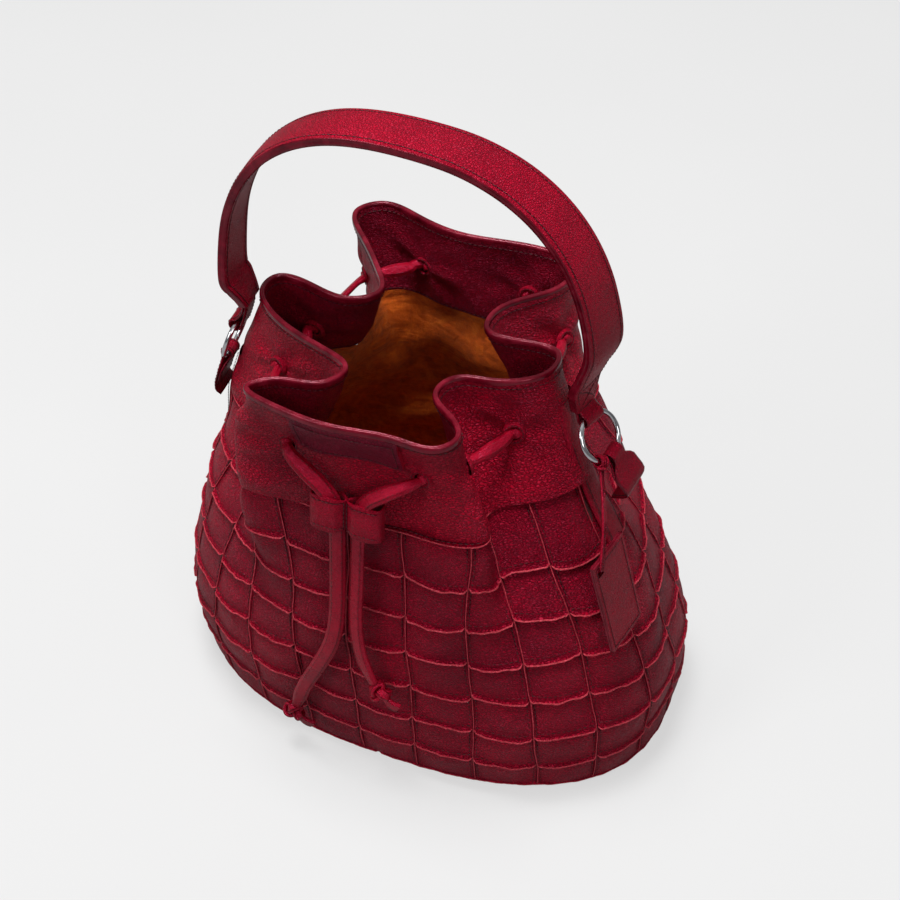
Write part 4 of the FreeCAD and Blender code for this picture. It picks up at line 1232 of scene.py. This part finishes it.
tag_stitches = Build()
s, t = np.linspace(-18, 18, 25), np.linspace(-33, 33, 45)
border = np.array([(s[0], v) for v in t] + [(v, t[-1]) for v in s]
                  + [(s[-1], v) for v in t[::-1]] + [(v, t[0]) for v in s[::-1]])
ss, tt = np.meshgrid(s, t)
hollow = np.hypot(ss + 12, tt + 27) > 2.3
for name, inner_face, outer_face in (("front", .08, 1.45), ("back", -.08, -1.45)):
    is_back = name == "back"
    ply = Build()
    ply.grid(tag_place(ss, tt, outer_face), flip=is_back, keep=hollow)
    ply.grid(tag_place(ss, tt, inner_face), flip=not is_back, keep=hollow)
    middle_face = (inner_face + outer_face) / 2
    ply.grid(np.stack([tag_place(*border.T, k, swell) for k, swell in (
        (inner_face, 1.0), (middle_face, 1.012), (outer_face, 1.0))]), 1, flip=not is_back)
    ply.object(f"tag_{name}_leather", "tag", [strap_leather, edge], [f"tag_{name}"])
    line = tag_place(*(border * (TAG_HALF - 2.4) / TAG_HALF).T, outer_face)
    thread(tag_stitches, line, TAG_NORMAL * (-1 if is_back else 1), 2.9, 2.0, .32, .08)
stitched(tag_stitches, "tag_stitching", "tag")

start = HITCH + radial * 5.3
LANYARD = [start, start + (3.5, -6.5, -6.5), (118.5, -35.5, 215.5), (123.5, -46.5, 202.0),
           TAG_HOLE + TAG_NORMAL * 1.2]
path = route(LANYARD)
lanyard = Build()
side_of = unit(np.cross(directions(path), TAG_NORMAL))
for k in (-1, 1):
    lanyard.sweep(flat_rings(path + side_of * k * .95, TAG_NORMAL, pill(.95, .9)))
lanyard_piece = lanyard.object("tag_lanyard_leather", "tag", [lace_leather], ["tag_lanyard"])

hitch = Build()
t = np.linspace(0, 2 * np.pi, 60, endpoint=False)
for shift in (-1.9, 0.1, 2.0):
    turn_round = np.cos(t)[:, None] * radial + np.sin(t)[:, None] * right.normal
    wrap = HITCH + along_ring * shift + 3.4 * turn_round
    wrap = wrap + along_ring * (.5 * np.sin(t))[:, None]
    hitch.sweep(flat_rings(wrap, unit(wrap - HITCH), pill(1.05, .8), closed=True), closed=True)
t = np.linspace(0, 1, 24)[:, None]
bar = HITCH + radial * 4.3 + along_ring * (t - .5) * 6.5 + right.normal * (1.8 * np.sin(t * 3.14))
hitch.sweep(flat_rings(bar, radial, pill(1.6, 1.0)))
hitch.object("lanyard_hitch_leather", "hitch", [lace_leather], ["lanyard_hitch"])

# ---- CAD nodes that stay ------------------------------------------------------------------
for node, material in (("base_panel", tile_leather), ("base_stiffener_board", board),
                       ("interlining", felt)):
    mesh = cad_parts[node].data
    mesh.materials.clear()
    mesh.materials.append(material)

# ---- stage --------------------------------------------------------------------------------
FLOOR_REACH = 9000
floor = Build()
line = np.linspace(-FLOOR_REACH, FLOOR_REACH, 15)
floor.grid(np.stack([*np.meshgrid(line, line), np.zeros((15, 15))], axis=-1))
g = Nodes("pale_floor")
lit = g.spread(g.add("ShaderNodeLightPath").outputs["Is Camera Ray"], 0, 1, .14, .58)
g.set(Base_Color=g.ramp(g.noise(3), [(.3, (123.56,) * 3), (.7, (126.4,) * 3)]), Roughness=.9,
      Specular_IOR_Level=.1, Emission_Color=(1, 1, 1, 1), Emission_Strength=lit)
floor.object("floor", None, [g.material])

world = bpy.data.worlds.new("studio")
world.use_nodes = True
nodes, link = world.node_tree.nodes, world.node_tree.links.new
sky, seen = nodes["Background"], nodes.new("ShaderNodeBackground")
split, graded = nodes.new("ShaderNodeSeparateXYZ"), nodes.new("ShaderNodeValToRGB")
graded.color_ramp.elements[0].color = (.10, .10, .105, 1)
graded.color_ramp.elements[1].color = (.47, .47, .47, 1)
seen.inputs["Color"].default_value = (.83, .83, .83, 1)
blend = nodes.new("ShaderNodeMixShader")
link(nodes.new("ShaderNodeTexCoord").outputs["Generated"], split.inputs[0])
link(split.outputs["Z"], graded.inputs["Fac"])
link(graded.outputs["Color"], sky.inputs["Color"])
link(nodes.new("ShaderNodeLightPath").outputs["Is Camera Ray"], blend.inputs[0])
link(sky.outputs[0], blend.inputs[1])
link(seen.outputs[0], blend.inputs[2])
link(blend.outputs[0], nodes["World Output"].inputs["Surface"])
bpy.context.scene.world = world


def area(name, place, size, power):
    """Soft light that shines on the bag."""
    light = bpy.data.lights.new(name, "AREA")
    light.shape = "RECTANGLE"
    light.size, light.size_y = size
    light.energy = power
    lamp = bpy.data.objects.new(name, light)
    lamp.location = place
    lamp.rotation_euler = (Vector((0, 0, .2)) - Vector(place)).to_track_quat("-Z", "Y").to_euler()
    bpy.context.scene.collection.objects.link(lamp)


area("overhead", (-.25, .05, 2.2), (.7, .7), 45)
area("right", (1.5, -1.3, 1.4), (.7, .9), 9)
area("left", (-1.1, -1.7, 1.5), (.8, .9), 14)

CAMERA_TARGET = Vector((-.017793, .055994, .130))
CAMERA_AWAY = 1.150
camera = bpy.data.cameras.new("camera")
camera.sensor_width = 36
camera.lens = 67.76
camera.clip_end = 20
eye = bpy.data.objects.new("camera", camera)
azimuth, elevation = math.radians(22.849), math.radians(43.781)
back = Vector((math.sin(azimuth) * math.cos(elevation), -math.cos(azimuth) * math.cos(elevation),
               math.sin(elevation)))
eye.location = CAMERA_TARGET + back * CAMERA_AWAY
eye.rotation_euler = (-back).to_track_quat("-Z", "Y").to_euler()
bpy.context.scene.collection.objects.link(eye)
bpy.context.scene.camera = eye
bpy.context.scene.view_settings.view_transform = "Standard"
